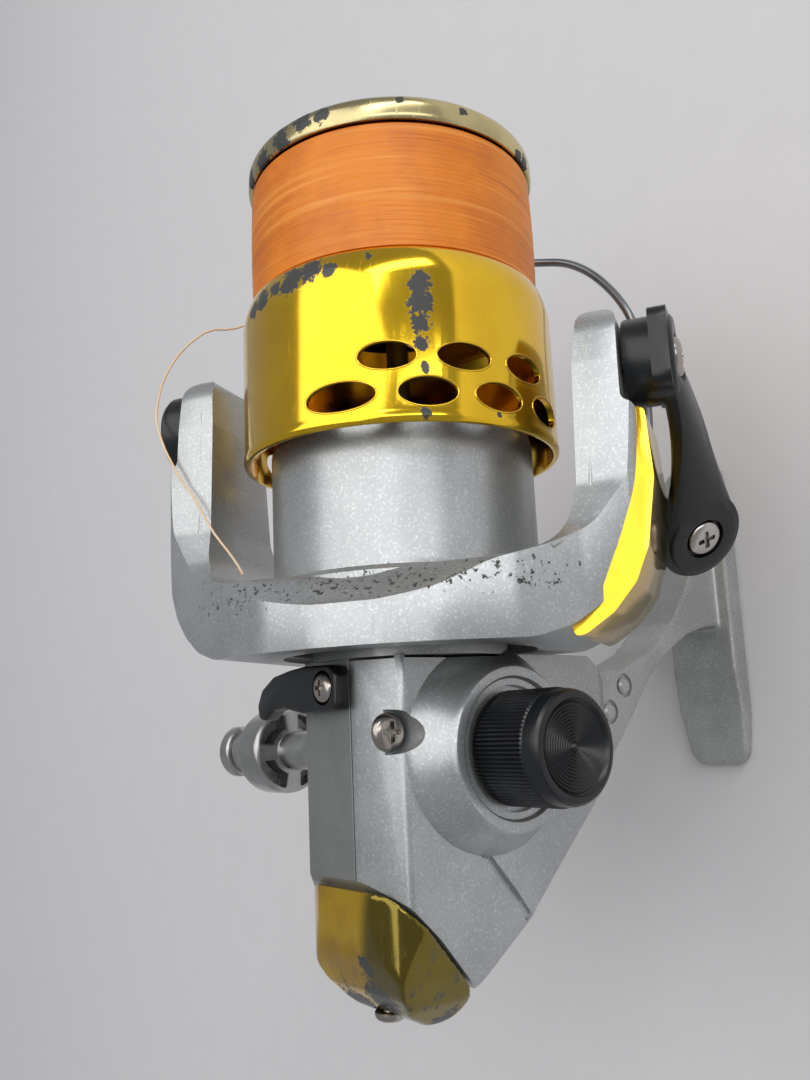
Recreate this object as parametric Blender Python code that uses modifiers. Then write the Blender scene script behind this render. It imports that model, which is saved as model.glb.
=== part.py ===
"""Spinning fishing reel, foot down: +X runs forward along the spool axis, +Z from the foot to the belly."""
import math

import bmesh
import bpy
from mathutils import Matrix, Vector

MM = 0.001

# ---- driving dimensions, millimetres ------------------------------------------------------------
AXIS_H = 80.0            # spool axis above the foot seat
GAP = 0.32               # clearance kept between neighbouring pieces
SKIRT_R = 25.0           # spool skirt outside radius
LIP_R = 23.75            # spool lip outside radius
LINE_R = 23.2            # outside of the wound line
CUP_R = 20.8             # rotor cup outside radius
ARM_TURN = 211.2         # turn of the rotor about +X, degrees
ARM_IN = 29.4            # inside face of the rotor arms
ARM_OUT = 38.2           # outside face of the rotor arms
ROTOR_BACK = -9.6        # rear face of the rotor
FRONT = -10.2            # front face of the gear case
HANDLE_X = -24.0         # crank axis
HANDLE_Z = -4.8
PIVOT_X = 31.4           # bail pivot axis
HUB_R = 7.0              # bail hub radius
SHAFT_R = 1.8            # main shaft
DRIVE_R = 2.6            # drive gear shaft
CAP_R = 8.1              # knurled cap
ROD_R = 1.35             # handle rod
CRANK = 52.0             # crank length
ARM_Y = 59.0             # inner face of the crank arm
ARM_T = 3.6              # crank arm thickness
KNOB_Y = 64.8            # start of the grip
KNOB_L = 32.4            # grip length
FOOT_L = 62.0
FOOT_W = 15.0
FOOT_T = 4.4
SLIDE = 17.0             # spool stroke
HOLES = 14               # skirt hole places in one row; two groups, front and back, are open
FACE_TEETH = 31          # drive gear
PINION_TEETH = 6

# ---- scene --------------------------------------------------------------------------------------
for stale in list(bpy.data.objects):
    bpy.data.objects.remove(stale, do_unlink=True)

REEL = bpy.data.collections.new("spinning_reel")
CUT = bpy.data.collections.new("cutters")
bpy.context.scene.collection.children.link(REEL)
bpy.context.scene.collection.children.link(CUT)


def material(name, rgb, rough, metal):
    """Principled material with the given look."""
    mat = bpy.data.materials.new(name)
    mat.use_nodes = True
    node = mat.node_tree.nodes["Principled BSDF"]
    node.inputs["Base Color"].default_value = (rgb[0], rgb[1], rgb[2], 1.0)
    node.inputs["Roughness"].default_value = rough
    node.inputs["Metallic"].default_value = metal
    mat.diffuse_color = (rgb[0], rgb[1], rgb[2], 1.0)
    return mat


SILVER = material("silver_paint", (0.50, 0.52, 0.53), 0.38, 0.55)
BELLY = material("belly_paint", (0.36, 0.38, 0.38), 0.42, 0.5)
GOLD = material("gold_anodised", (0.85, 0.60, 0.06), 0.16, 1.0)
BRASS = material("pale_gold", (0.66, 0.58, 0.34), 0.3, 1.0)
BLACK = material("black_plastic", (0.025, 0.028, 0.032), 0.42, 0.0)
STEEL = material("bright_steel", (0.62, 0.62, 0.60), 0.25, 1.0)
DARK = material("dark_steel", (0.20, 0.21, 0.22), 0.35, 1.0)
LINE = material("orange_nylon", (0.80, 0.26, 0.06), 0.35, 0.0)
TAIL = material("pale_nylon", (0.85, 0.55, 0.38), 0.35, 0.0)
ZINC = material("cast_zinc", (0.42, 0.42, 0.42), 0.5, 0.9)
BRONZE = material("gear_bronze", (0.60, 0.42, 0.18), 0.4, 1.0)
FELT = material("drag_felt", (0.30, 0.28, 0.25), 0.9, 0.0)


# ---- builders -----------------------------------------------------------------------------------
def place(name, bm, mat, turn=None, cutter=False):
    """Turn a finished bmesh (millimetres about the spool axis) into a named object."""
    bmesh.ops.recalc_face_normals(bm, faces=bm.faces)
    mesh = bpy.data.meshes.new(name)
    if turn is not None:
        bmesh.ops.transform(bm, matrix=turn, verts=bm.verts)
    bmesh.ops.translate(bm, vec=Vector((0.0, 0.0, AXIS_H)), verts=bm.verts)
    bmesh.ops.scale(bm, vec=Vector((MM, MM, MM)), verts=bm.verts)
    bm.to_mesh(mesh)
    bm.free()
    obj = bpy.data.objects.new(name, mesh)
    (CUT if cutter else REEL).objects.link(obj)
    if cutter:
        obj.hide_render = True
        obj.display_type = "WIRE"
    else:
        mesh.materials.append(mat)
    return obj


ROTOR_TURN = Matrix.Rotation(math.radians(ARM_TURN), 4, "X")


def rotor_vec(x, a, b):
    """Point of the rotor frame (forward, along the arms, across them) in the reel frame."""
    return ROTOR_TURN @ Vector((x, a, b))


def prism(name, pts, axis, lo, hi, mat=None, turn=None, cutter=False):
    """Extrude a flat outline along one axis. Points are given in the two other axes."""
    bm = bmesh.new()
    low, high = [], []
    for u, v in pts:
        if axis == "Y":
            low.append(bm.verts.new((u, lo, v)))
            high.append(bm.verts.new((u, hi, v)))
        elif axis == "X":
            low.append(bm.verts.new((lo, u, v)))
            high.append(bm.verts.new((hi, u, v)))
        else:
            low.append(bm.verts.new((u, v, lo)))
            high.append(bm.verts.new((u, v, hi)))
    bm.faces.new(low)
    bm.faces.new(list(reversed(high)))
    n = len(pts)
    for i in range(n):
        j = (i + 1) % n
        bm.faces.new((low[i], high[i], high[j], low[j]))
    return place(name, bm, mat, turn, cutter)


AXES = {"X": Matrix.Rotation(math.pi / 2, 4, "Y"), "Y": Matrix.Rotation(-math.pi / 2, 4, "X"),
        "Z": Matrix.Identity(4)}


def rod(name, axis, centre, radius, lo, hi, mat=None, segs=24, turn=None, cutter=False, top=None):
    """Cylinder (or cone frustum) along an axis through centre, from lo to hi."""
    bm = bmesh.new()
    bmesh.ops.create_cone(bm, cap_ends=True, segments=segs, radius1=radius,
                          radius2=radius if top is None else top, depth=hi - lo)
    if cutter:
        bmesh.ops.rotate(bm, matrix=Matrix.Rotation(math.radians(3.3), 3, "Z"), verts=bm.verts)
    bmesh.ops.transform(bm, matrix=AXES[axis], verts=bm.verts)
    shift = {"X": Vector(((lo + hi) / 2, centre[0], centre[1])),
             "Y": Vector((centre[0], (lo + hi) / 2, centre[1])),
             "Z": Vector((centre[0], centre[1], (lo + hi) / 2))}[axis]
    bmesh.ops.translate(bm, vec=shift, verts=bm.verts)
    return place(name, bm, mat, turn, cutter)


def box(name, lo, hi, mat=None, turn=None, cutter=False):
    """Axis-aligned block between two corners."""
    bm = bmesh.new()
    bmesh.ops.create_cube(bm, size=1.0)
    for vert in bm.verts:
        vert.co = Vector([lo[i] + (vert.co[i] + 0.5) * (hi[i] - lo[i]) for i in range(3)])
    return place(name, bm, mat, turn, cutter)


def turned(name, profile, axis, centre, mat, segs=32, closed=True, turn=None, cutter=False):
    """Solid of revolution: (along, radius) profile swept by a Screw modifier, then set on its axis."""
    area = 0.0
    for i, (t, r) in enumerate(profile):
        nt, nr = profile[(i + 1) % len(profile)]
        area += r * nt - nr * t
    if area > 0:
        profile = list(reversed(profile))
    mesh = bpy.data.meshes.new(name)
    verts = [(r * MM, 0.0, t * MM) for t, r in profile]
    edges = [(i, i + 1) for i in range(len(verts) - 1)]
    if closed:
        edges.append((len(verts) - 1, 0))
    mesh.from_pydata(verts, edges, [])
    obj = bpy.data.objects.new(name, mesh)
    (CUT if cutter else REEL).objects.link(obj)
    screw = obj.modifiers.new("turn", "SCREW")
    screw.axis = "Z"
    screw.steps = segs
    screw.render_steps = segs
    screw.use_merge_vertices = True
    screw.merge_threshold = 0.00001
    matrix = AXES[axis]
    shift = {"X": Vector((0.0, centre[0], centre[1])), "Y": Vector((centre[0], 0.0, centre[1])),
             "Z": Vector((centre[0], centre[1], 0.0))}[axis]
    matrix = Matrix.Translation(shift) @ matrix
    if turn is not None:
        matrix = turn @ matrix
    matrix = Matrix.Translation(Vector((0.0, 0.0, AXIS_H))) @ matrix
    obj.matrix_world = Matrix.Translation(matrix.translation * MM) @ matrix.to_3x3().to_4x4()
    if cutter:
        obj.hide_render = True
        obj.display_type = "WIRE"
    else:
        mesh.materials.append(mat)
    return obj


def join(obj, tool, how="UNION"):
    """Exact Boolean of a helper solid into a piece."""
    mod = obj.modifiers.new(how.lower(), "BOOLEAN")
    mod.operation = how
    mod.solver = "EXACT"
    mod.object = tool
    if tool.name not in CUT.objects:
        REEL.objects.unlink(tool)
        CUT.objects.link(tool)
        tool.hide_render = True
        tool.display_type = "WIRE"
    return obj


def cut(obj, tool):
    """Exact Boolean difference."""
    return join(obj, tool, "DIFFERENCE")


def bevel(obj, width, segs=2, angle=35.0):
    """Round the sharp edges of a piece."""
    mod = obj.modifiers.new("edges", "BEVEL")
    mod.width = width * MM
    mod.segments = segs
    mod.limit_method = "ANGLE"
    mod.angle_limit = math.radians(angle)
    mod.use_clamp_overlap = True
    return obj


def arc(cx, cy, radius, start, stop, steps):
    """Points of a circular arc."""
    pts = []
    for i in range(steps + 1):
        t = math.radians(start + (stop - start) * i / steps)
        pts.append((cx + radius * math.cos(t), cy + radius * math.sin(t)))
    return pts


def smooth_path(route, count):
    """Evenly stepped points of a Catmull-Rom curve through a short route."""
    pts = [Vector(p) for p in route]
    pts = [pts[0] * 2 - pts[1]] + pts + [pts[-1] * 2 - pts[-2]]
    dense = []
    for i in range(1, len(pts) - 2):
        for k in range(24):
            t = k / 24.0
            p0, p1, p2, p3 = pts[i - 1], pts[i], pts[i + 1], pts[i + 2]
            dense.append(0.5 * ((2 * p1) + (p2 - p0) * t + (2 * p0 - 5 * p1 + 4 * p2 - p3) * t * t
                                + (3 * p1 - p0 - 3 * p2 + p3) * t ** 3))
    dense.append(pts[-2])
    length = [0.0]
    for i in range(1, len(dense)):
        length.append(length[-1] + (dense[i] - dense[i - 1]).length)
    out = []
    for k in range(count):
        want = length[-1] * k / (count - 1)
        i = 1
        while i < len(length) - 1 and length[i] < want:
            i += 1
        span = max(length[i] - length[i - 1], 1e-9)
        out.append(dense[i - 1].lerp(dense[i], (want - length[i - 1]) / span))
    return out


def tube(name, pts, radius, mat, res=2):
    """Round tube along points given in the reel frame, millimetres from the spool axis."""
    curve = bpy.data.curves.new(name, "CURVE")
    curve.dimensions = "3D"
    curve.bevel_depth = radius * MM
    curve.bevel_resolution = res
    curve.resolution_u = 1
    curve.render_resolution_u = 0
    curve.use_fill_caps = True
    line = curve.splines.new("POLY")
    line.points.add(len(pts) - 1)
    for point, p in zip(line.points, pts):
        point.co = (p.x * MM, p.y * MM, (p.z + AXIS_H) * MM, 1.0)
    obj = bpy.data.objects.new(name, curve)
    REEL.objects.link(obj)
    curve.materials.append(mat)
    return obj


def gear(name, axis, centre, teeth, root, tip, bore, lo, hi, mat, turn=None):
    """Spur wheel with straight-flanked teeth and a plain bore."""
    pts = []
    step = 360.0 / teeth
    for i in range(teeth):
        for off, rad in ((0.0, root), (0.22, root), (0.36, tip), (0.64, tip), (0.78, root)):
            if off == 0.0:
                continue
            t = math.radians(step * (i + off))
            pts.append((rad * math.cos(t), rad * math.sin(t)))
    moved = [(u + centre[0], v + centre[1]) for u, v in pts]
    wheel = prism(name, moved, axis, lo, hi, mat, turn)
    if bore > 0:
        cut(wheel, rod(name + "_bore", axis, centre, bore, lo - 1, hi + 1, segs=20, turn=turn, cutter=True))
    return wheel


def screw(name, axis, centre, head_at, way, head_r, head_h, shank_r, length, mat=STEEL, turn=None, cross=True):
    """Pan head screw with a cross recess; way is +1 when the shank runs toward +axis."""
    low = head_at
    prof = [(low, 0.0), (low, head_r * 0.72), (low + way * head_h * 0.45, head_r),
            (low + way * head_h, head_r * 0.98), (low + way * head_h, shank_r),
            (low + way * (head_h + length), shank_r), (low + way * (head_h + length), 0.0)]
    obj = turned(name, prof, axis, centre, mat, segs=12, closed=False, turn=turn)
    if not cross:
        return obj
    deep = head_h * 0.5
    arm, half = head_r * 0.55, head_r * 0.14
    ends = sorted((low - way * 1.0, low + way * deep))
    for k, (hu, hv) in enumerate(((arm, half), (half, arm))):
        if axis == "X":
            lo = (ends[0], centre[0] - hu, centre[1] - hv)
            hi = (ends[1], centre[0] + hu, centre[1] + hv)
        elif axis == "Y":
            lo = (centre[0] - hu, ends[0], centre[1] - hv)
            hi = (centre[0] + hu, ends[1], centre[1] + hv)
        else:
            lo = (centre[0] - hu, centre[1] - hv, ends[0])
            hi = (centre[0] + hu, centre[1] + hv, ends[1])
        cut(obj, box(name + "_slot%d" % k, lo, hi, turn=turn, cutter=True))
    return obj


def nut(name, radius, bore, lo, hi):
    """Hexagon nut on the spool axis."""
    obj = prism(name, [(radius * math.cos(math.pi * i / 3), radius * math.sin(math.pi * i / 3))
                       for i in range(6)], "X", lo, hi, BRASS)
    return cut(obj, rod(name + "_bore", "X", (0.0, 0.0), bore, lo - 1, hi + 1, segs=18, cutter=True))


# ---- gear case, stem and foot -------------------------------------------------------------------
CASE = [(FRONT, 14.0), (-41.0, 14.0), (-57.0, -2.0), (-46.9, -12.6), (-36.6, -25.7), (-31.0, -33.0),
        (-24.0, -36.0), (-14.0, -36.0), (FRONT, -30.0)]
INNER = [(-12.2, 11.9), (-40.2, 11.9), (-53.8, -1.7), (-45.2, -11.4), (-35.2, -23.6), (-30.0, -27.6),
         (-13.5, -27.6), (-12.2, -24.0)]
STEM = [(-33.0, -22.0), (-32.5, -32.0), (-25.8, -41.8), (-20.2, -47.0), (-14.7, -51.6), (-10.4, -56.2),
        (-7.4, -61.4), (-5.2, -66.0), (-4.1, -70.5), (-3.4, -78.0), (24.0, -78.0), (19.0, -74.5),
        (11.5, -70.6), (3.5, -65.8), (-3.5, -60.0), (-8.6, -53.5), (-11.6, -46.0), (-12.4, -38.0),
        (-12.4, -22.0)]

COVER_SCREWS = ((-21.0, 12.0), (-26.5, -30.6))

body = prism("body_housing", CASE, "Y", -3.0, 14.6, BELLY)
join(body, prism("case_section", [(-4.0, 15.0), (7.4, 15.0), (12.2, 10.6), (12.6, -6.0), (9.0, -33.0),
                                  (5.0, -37.0), (-4.0, -37.0)], "X", -60.0, -9.0, cutter=True), "INTERSECT")
join(body, prism("case_plan", [(-9.0, -4.0), (-9.0, 30.0), (-41.0, 30.0), (-41.0, 13.0), (-48.0, 11.9),
                               (-58.0, 8.8), (-58.0, -4.0)], "Z", -40.0, 16.0, cutter=True), "INTERSECT")
hollow = prism("case_hollow", INNER, "Y", -4.0, 10.8, cutter=True)
join(hollow, prism("hollow_section", [(-5.0, 12.4), (8.3, 12.4), (10.9, 9.8), (11.3, -6.0), (7.9, -29.0),
                                      (-5.0, -29.0)], "X", -60.0, -9.0, cutter=True), "INTERSECT")
cut(body, hollow)
join(body, turned("right_boss", [(17.0, 0.0), (17.0, 11.0), (11.0, 14.6), (9.5, 14.6), (9.5, 0.0)], "Y",
                  (HANDLE_X, HANDLE_Z), None, 20, closed=False, cutter=True))
stem = prism("stem", STEM, "Y", -4.6, 4.6, cutter=True)
bevel(stem, 1.5, 1, 50.0)
join(body, stem)
foot_half = FOOT_L / 2
FOOT = [(-foot_half, -AXIS_H), (foot_half, -AXIS_H), (foot_half, -AXIS_H + 1.9), (24.0, -AXIS_H + FOOT_T),
        (-12.0, -AXIS_H + FOOT_T), (-foot_half, -AXIS_H + 1.9)]
foot = prism("foot", FOOT, "Y", -FOOT_W / 2, FOOT_W / 2, cutter=True)
join(foot, prism("foot_plan", [(-foot_half, -4.6), (-foot_half + 2.0, -6.4), (-20.0, -FOOT_W / 2),
                               (20.0, -FOOT_W / 2), (foot_half - 2.0, -6.4), (foot_half, -4.6),
                               (foot_half, 4.6), (foot_half - 2.0, 6.4), (20.0, FOOT_W / 2),
                               (-20.0, FOOT_W / 2), (-foot_half + 2.0, 6.4), (-foot_half, 4.6)],
                 "Z", -AXIS_H - 1.0, -AXIS_H + 9.0, cutter=True), "INTERSECT")
join(body, foot)
join(body, rod("front_collar", "X", (0.0, 0.0), 15.0, -10.45, 9.0, segs=32, cutter=True))
cut(body, rod("collar_hollow", "X", (0.0, 0.0), 12.8, -6.0, 1.4, segs=32, cutter=True))
cut(body, rod("front_bearing_seat", "X", (0.0, 0.0), 8.4, 1.0, 10.0, segs=28, cutter=True))
cut(body, rod("pinion_way", "X", (0.0, 0.0), 4.3, -13.5, 2.0, segs=24, cutter=True))
cut(body, rod("right_bearing_seat", "Y", (HANDLE_X, HANDLE_Z), 5.9, 10.0, 15.6, segs=24, cutter=True))
cut(body, rod("right_way", "Y", (HANDLE_X, HANDLE_Z), 3.4, 9.0, 18.0, segs=20, cutter=True))
join(body, rod("cover_post", "Y", COVER_SCREWS[0], 1.93, -2.98, 5.5, segs=20, cutter=True))
cut(body, rod("cover_post_way", "Y", COVER_SCREWS[0], 1.35, -4.0, 2.0, segs=14, cutter=True))
cut(body, rod("low_screw_way", "Y", COVER_SCREWS[1], 1.35, -6.0, 14.0, segs=14, cutter=True))
cut(body, rod("low_screw_sink", "Y", COVER_SCREWS[1], 2.7, 7.0, 14.0, segs=20, cutter=True))
for k, (dx, dz) in enumerate(((-19.5, -40.5), (-15.0, -44.9))):
    cut(body, rod("stem_dimple%d" % k, "Y", (dx, dz), 1.7, -5.6, -4.0, segs=20, cutter=True))
cut(body, rod("lever_hole", "Z", (-14.4, -0.6), 1.25, 9.5, 15.0, segs=14, cutter=True))
cut(body, rod("tail_hole", "X", (0.0, 6.5), 1.25, -52.0, -44.0, segs=14, cutter=True))

# ---- side cover ---------------------------------------------------------------------------------
COVER = [(FRONT, 14.0), (-41.0, 14.0), (-57.0, -2.0), (-46.9, -12.6), (-36.6, -25.7), (-31.0, -33.0),
         (-24.0, -36.0), (-14.0, -36.0), (FRONT, -30.0)]
cover = prism("side_cover", COVER, "Y", -14.6, -3.0 - GAP, SILVER)
join(cover, prism("cover_section", [(-2.0, 15.0), (-2.5, 15.0), (-11.4, 10.8), (-12.2, -8.0),
                                    (-9.0, -33.0), (-6.6, -37.0), (-2.0, -37.0)], "X", -60.0, -9.0,
                  cutter=True), "INTERSECT")
join(cover, prism("cover_plan", [(-9.0, -2.0), (-9.0, -13.5), (-41.0, -12.9), (-48.0, -11.9), (-58.0, -8.8),
                                 (-58.0, -2.0)], "Z", -40.0, 16.0, cutter=True), "INTERSECT")
LOW_INNER = [(-12.2, 8.4), (-43.7, 8.4)] + INNER[2:]
hollow = prism("cover_hollow", LOW_INNER, "Y", -10.5, -3.0, cutter=True)
join(hollow, prism("cover_hollow_section", [(-2.0, 9.0), (-10.3, 9.0), (-10.8, -8.0), (-8.0, -29.0),
                                            (-2.0, -29.0)], "X", -60.0, -9.0, cutter=True), "INTERSECT")
cut(cover, hollow)
cut(cover, box("stem_way", (-34.0, -5.0, -40.0), (-9.0, -3.0, -21.0), cutter=True))
join(cover, turned("left_boss", [(-9.5, 0.0), (-9.5, 15.2), (-11.5, 15.2), (-17.0, 11.9), (-17.4, 11.6),
                                 (-17.4, 0.0)], "Y", (HANDLE_X, HANDLE_Z), None, 36, closed=False,
                   cutter=True))
cut(cover, rod("collar_way", "X", (0.0, 0.0), 15.0 + GAP, -10.85, -6.0, segs=40, cutter=True))
cut(cover, rod("cover_pinion_way", "X", (0.0, 0.0), 4.3, -13.5, -9.0, segs=24, cutter=True))
cut(cover, rod("cap_recess", "Y", (HANDLE_X, HANDLE_Z), 8.9, -19.0, -15.9, segs=36, cutter=True))
cut(cover, rod("left_bearing_seat", "Y", (HANDLE_X, HANDLE_Z), 5.9, -16.5, -9.0, segs=24, cutter=True))
cut(cover, rod("cover_screw_sink_0", "Y", COVER_SCREWS[0], 3.1, -14.0, -8.5, segs=24, cutter=True))
cut(cover, rod("cover_screw_way_0", "Y", COVER_SCREWS[0], 1.35, -12.0, -2.0, segs=14, cutter=True))
cut(cover, rod("cover_screw_way_1", "Y", COVER_SCREWS[1], 1.35, -7.8, -2.0, segs=14, cutter=True))
groove = prism("cover_groove", [(-33.0, 2.6), (-31.6, 3.4), (-46.4, -8.6), (-47.4, -7.6)], "Y", -13.4, -11.5,
               cutter=True)
cut(cover, groove)

# ---- tail cap -----------------------------------------------------------------------------------
TAIL_PTS = [(-41.2, 14.25), (-46.5, 14.1), (-51.5, 13.3), (-56.0, 11.2), (-59.4, 8.0), (-61.4, 4.2),
            (-61.7, 1.0), (-60.4, -1.6), (-57.35, -1.9)]
cap = prism("tail_cap", TAIL_PTS, "Y", -12.6, 12.6, GOLD)
join(cap, prism("tail_section", [(-6.0, 14.6), (6.0, 14.6), (10.4, 12.4), (12.4, 8.0), (12.4, -3.0),
                                 (-12.4, -3.0), (-12.4, 8.0), (-10.4, 12.4)], "X", -63.0, -40.0,
                cutter=True), "INTERSECT")
join(cap, prism("tail_plan", [(-40.0, -12.9), (-41.0, -12.9), (-48.0, -11.9), (-56.0, -9.6), (-60.0, -7.2),
                              (-63.0, -4.2), (-63.0, 4.2), (-60.0, 7.2), (-56.0, 9.6), (-48.0, 11.9),
                              (-41.0, 12.9), (-40.0, 12.9)], "Z", -10.0, 16.0, cutter=True), "INTERSECT")
bevel(cap, 1.5, 2, 40.0)
cut(cap, prism("tail_hollow", [(-44.5, 12.0), (-51.0, 11.2), (-55.2, 9.3), (-57.9, 6.7), (-59.0, 3.8),
                               (-59.0, 1.4), (-57.6, 0.0), (-55.0, 0.2)], "Y", -6.2, 6.2, cutter=True))
cut(cap, rod("tail_screw_way", "X", (0.0, 6.5), 1.35, -63.0, -46.0, segs=14, cutter=True))
cut(cap, rod("tail_screw_sink", "X", (0.0, 6.5), 2.7, -63.0, -59.3, segs=20, cutter=True))

screw("tail_screw", "X", (0.0, 6.5), -61.1, 1, 2.3, 1.4, 1.0, 11.0, cross=False)
screw("cover_screw_top", "Y", COVER_SCREWS[0], -10.3, 1, 2.7, 1.5, 1.0, 10.0)
screw("cover_screw_low", "Y", COVER_SCREWS[1], 8.7, -1, 2.3, 1.35, 1.0, 14.4, cross=False)

# ---- anti-reverse lever on the belly ------------------------------------------------------------
LEVER_X = -14.4
LEVER_Y = -0.6
lever_pts = (arc(LEVER_X, LEVER_Y, 3.6, 150, 390, 10)
             + [(-10.9, 5.5), (-10.9, 10.5), (-12.2, 15.2), (-14.2, 17.6), (-17.4, 18.0), (-18.0, 16.6),
                (-16.8, 14.6), (-16.4, 12.0), (-17.6, 5.5)])
lever = prism("ar_lever", lever_pts, "Z", 14.4, 17.0, BLACK)
bevel(lever, 0.35, 1, 50.0)
cut(lever, rod("ar_lever_way", "Z", (LEVER_X, LEVER_Y), 1.3, 14.0, 18.0, segs=14, cutter=True))
cut(lever, rod("ar_lever_sink", "Z", (LEVER_X, LEVER_Y), 2.6, 15.9, 18.0, segs=20, cutter=True))
screw("ar_lever_screw", "Z", (LEVER_X, LEVER_Y), 17.6, -1, 2.2, 1.3, 0.9, 5.6)

# ---- drive train inside the case ----------------------------------------------------------------
HC = (HANDLE_X, HANDLE_Z)
drive = turned("drive_gear", [(17.2, ROD_R + 0.35), (17.2, DRIVE_R), (-5.0, DRIVE_R), (-5.0, 10.6),
                              (-6.8, 10.6), (-7.2, 5.0), (-9.0, 4.2), (-9.0, DRIVE_R), (-15.6, DRIVE_R),
                              (-15.6, ROD_R + 0.35)], "Y", HC, BRONZE, 18)
teeth = bmesh.new()
for i in range(FACE_TEETH):
    t = 2 * math.pi * i / FACE_TEETH
    mat4 = Matrix.Translation(Vector((HANDLE_X, 0, HANDLE_Z))) @ Matrix.Rotation(t, 4, "Y")
    corners = []
    for x, w in ((8.2, 0.34), (10.4, 0.5)):
        for s in (-1, 1):
            corners.append((x, -5.6, s * (w + 0.1)))
            corners.append((x, -4.1, s * w * 0.5))
    v = [teeth.verts.new(mat4 @ Vector(c)) for c in corners]
    for quad in ((0, 1, 3, 2), (4, 6, 7, 5), (0, 4, 5, 1), (2, 3, 7, 6), (1, 5, 7, 3), (0, 2, 6, 4)):
        teeth.faces.new([v[q] for q in quad])
join(drive, place("face_teeth", teeth, None, None, True))

turned("drive_bearing_left", [(-12.0, DRIVE_R + GAP), (-12.0, 5.55), (-15.4, 5.55), (-15.4, DRIVE_R + GAP)],
       "Y", HC, STEEL, 16)
turned("drive_bearing_right", [(15.2, DRIVE_R + GAP), (15.2, 5.55), (11.6, 5.55), (11.6, DRIVE_R + GAP)],
       "Y", HC, STEEL, 16)
osc_drive = gear("oscillation_pinion", "Y", HC, 16, 5.2, 6.3, DRIVE_R + GAP, 4.6, 7.6, BRONZE)
OSC = (-36.6, -9.6)
osc = gear("oscillation_gear", "Y", OSC, 16, 5.2, 6.3, 1.9, 4.6, 7.4, BRONZE)
join(osc, rod("osc_pin", "Y", (OSC[0] - 3.9, OSC[1]), 1.1, 3.4, 5.2, segs=14, cutter=True))
turned("oscillation_axle", [(9.18, 0.0), (9.18, 1.5), (4.0, 1.5), (4.0, 0.0)], "Y", OSC, STEEL, 16,
       closed=False)
block = box("slider_block", (-31.6, -2.9, -6.0), (-25.4, 2.9, 3.0), ZINC)
bevel(block, 0.5, 1)
cut(block, rod("slider_bore", "X", (0.0, 0.0), SHAFT_R + GAP, -35.0, -24.0, segs=20, cutter=True))
cut(block, box("slider_notch", (-27.1, -4.0, -9.5), (-24.0, 4.0, -1.86), cutter=True))

pinion = gear("pinion", "X", (0.0, 0.0), PINION_TEETH, 2.7, 3.5, 0.0, -16.0, -8.2, BRONZE)
join(pinion, rod("pinion_stem", "X", (0.0, 0.0), 2.95, -8.6, 26.8, segs=24, cutter=True))
cut(pinion, rod("pinion_bore", "X", (0.0, 0.0), SHAFT_R + GAP, -17.0, 28.0, segs=20, cutter=True))
turned("pinion_bearing", [(6.4, 2.95 + GAP), (6.4, 8.05), (1.9, 8.05), (1.9, 2.95 + GAP)], "X", (0.0, 0.0),
       STEEL, 20)
turned("bearing_retainer", [(8.2, 5.2), (8.2, 8.05), (6.8, 8.05), (6.8, 5.2)], "X", (0.0, 0.0), ZINC, 20)
ratchet = gear("ar_ratchet", "X", (0.0, 0.0), 12, 7.6, 9.2, 2.95 + GAP, -4.6, -1.8, STEEL)
pawl = prism("ar_pawl", [(-1.6, 12.2), (1.8, 12.2), (2.4, 10.4), (1.0, 9.55), (-1.6, 10.2)], "X", -4.4, -2.0, STEEL)

main = rod("main_shaft", "X", (0.0, 0.0), SHAFT_R, -32.4, 73.0, STEEL, segs=24)

# ---- rotor --------------------------------------------------------------------------------------
RT = ROTOR_TURN


def u_side(s, inset):
    """Outside line of one arm, tip to base, in (forward, along-arms) pairs."""
    out = [(39.0, 33.2), (38.5, 35.4), (37.2, 36.3), (23.6, 36.3), (22.8, ARM_OUT), (12.0, ARM_OUT - 0.2),
           (2.0, 36.9 - inset), (-2.2, 35.2 - inset), (-5.4, 32.6 - inset), (-8.0, 29.2 - inset),
           (ROTOR_BACK, 24.0)]
    return [(x, s * a) for x, a in out]


def u_inside(s):
    """Inside line of one arm, base to tip."""
    inn = [(1.3, 18.0), (1.8, 23.0), (3.2, 26.4), (7.0, 28.6), (12.0, ARM_IN), (30.0, ARM_IN + 0.4),
           (37.6, 30.6), (38.8, 31.6)]
    return [(x, s * a) for x, a in inn]


outline = u_side(1, 0.6) + list(reversed(u_side(-1, 0.0))) + list(reversed(u_inside(-1))) + u_inside(1)
rotor = prism("rotor", outline, "Z", -27.0, 27.0, SILVER, turn=RT)
FRONT_VIEW = [(38.6, 7.4), (37.4, 9.4), (30.0, 13.8), (22.0, 19.6), (13.0, 24.0), (4.5, 25.7)]
base = FRONT_VIEW + [(-a, b) for a, b in reversed(FRONT_VIEW)]
base = base + [(-a, -b) for a, b in base]
join(rotor, prism("rotor_front_view", base, "X", -20.0, 45.0, turn=RT, cutter=True), "INTERSECT")
WIDTH = [(39.4, 5.0), (36.0, 7.6), (30.0, 8.6), (12.0, 10.0), (5.0, 13.0), (2.8, 16.5), (1.0, 20.6),
         (-3.6, 25.2), (-5.0, 28.0), (ROTOR_BACK - 1, 28.0)]
join(rotor, prism("arm_width", WIDTH + [(x, -b) for x, b in reversed(WIDTH)], "Y", -45.0, 45.0, turn=RT,
                  cutter=True), "INTERSECT")
bevel(rotor, 1.3, 1, 50.0)
cut(rotor, rod("rotor_core", "X", (0.0, 0.0), 19.6, ROTOR_BACK - 1, 3.0, segs=36, turn=RT, cutter=True))
join(rotor, turned("rotor_cup", [(24.4, 3.3), (24.4, 18.2), (23.9, 19.8), (22.6, CUP_R), (1.8, CUP_R),
                                 (0.9, 21.6), (-8.8, 21.6), (-8.8, 18.6), (21.0, 18.6), (22.4, 17.2), (22.4, 3.3)], "X",
                   (0.0, 0.0), None, 40, turn=RT, cutter=True))
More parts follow.
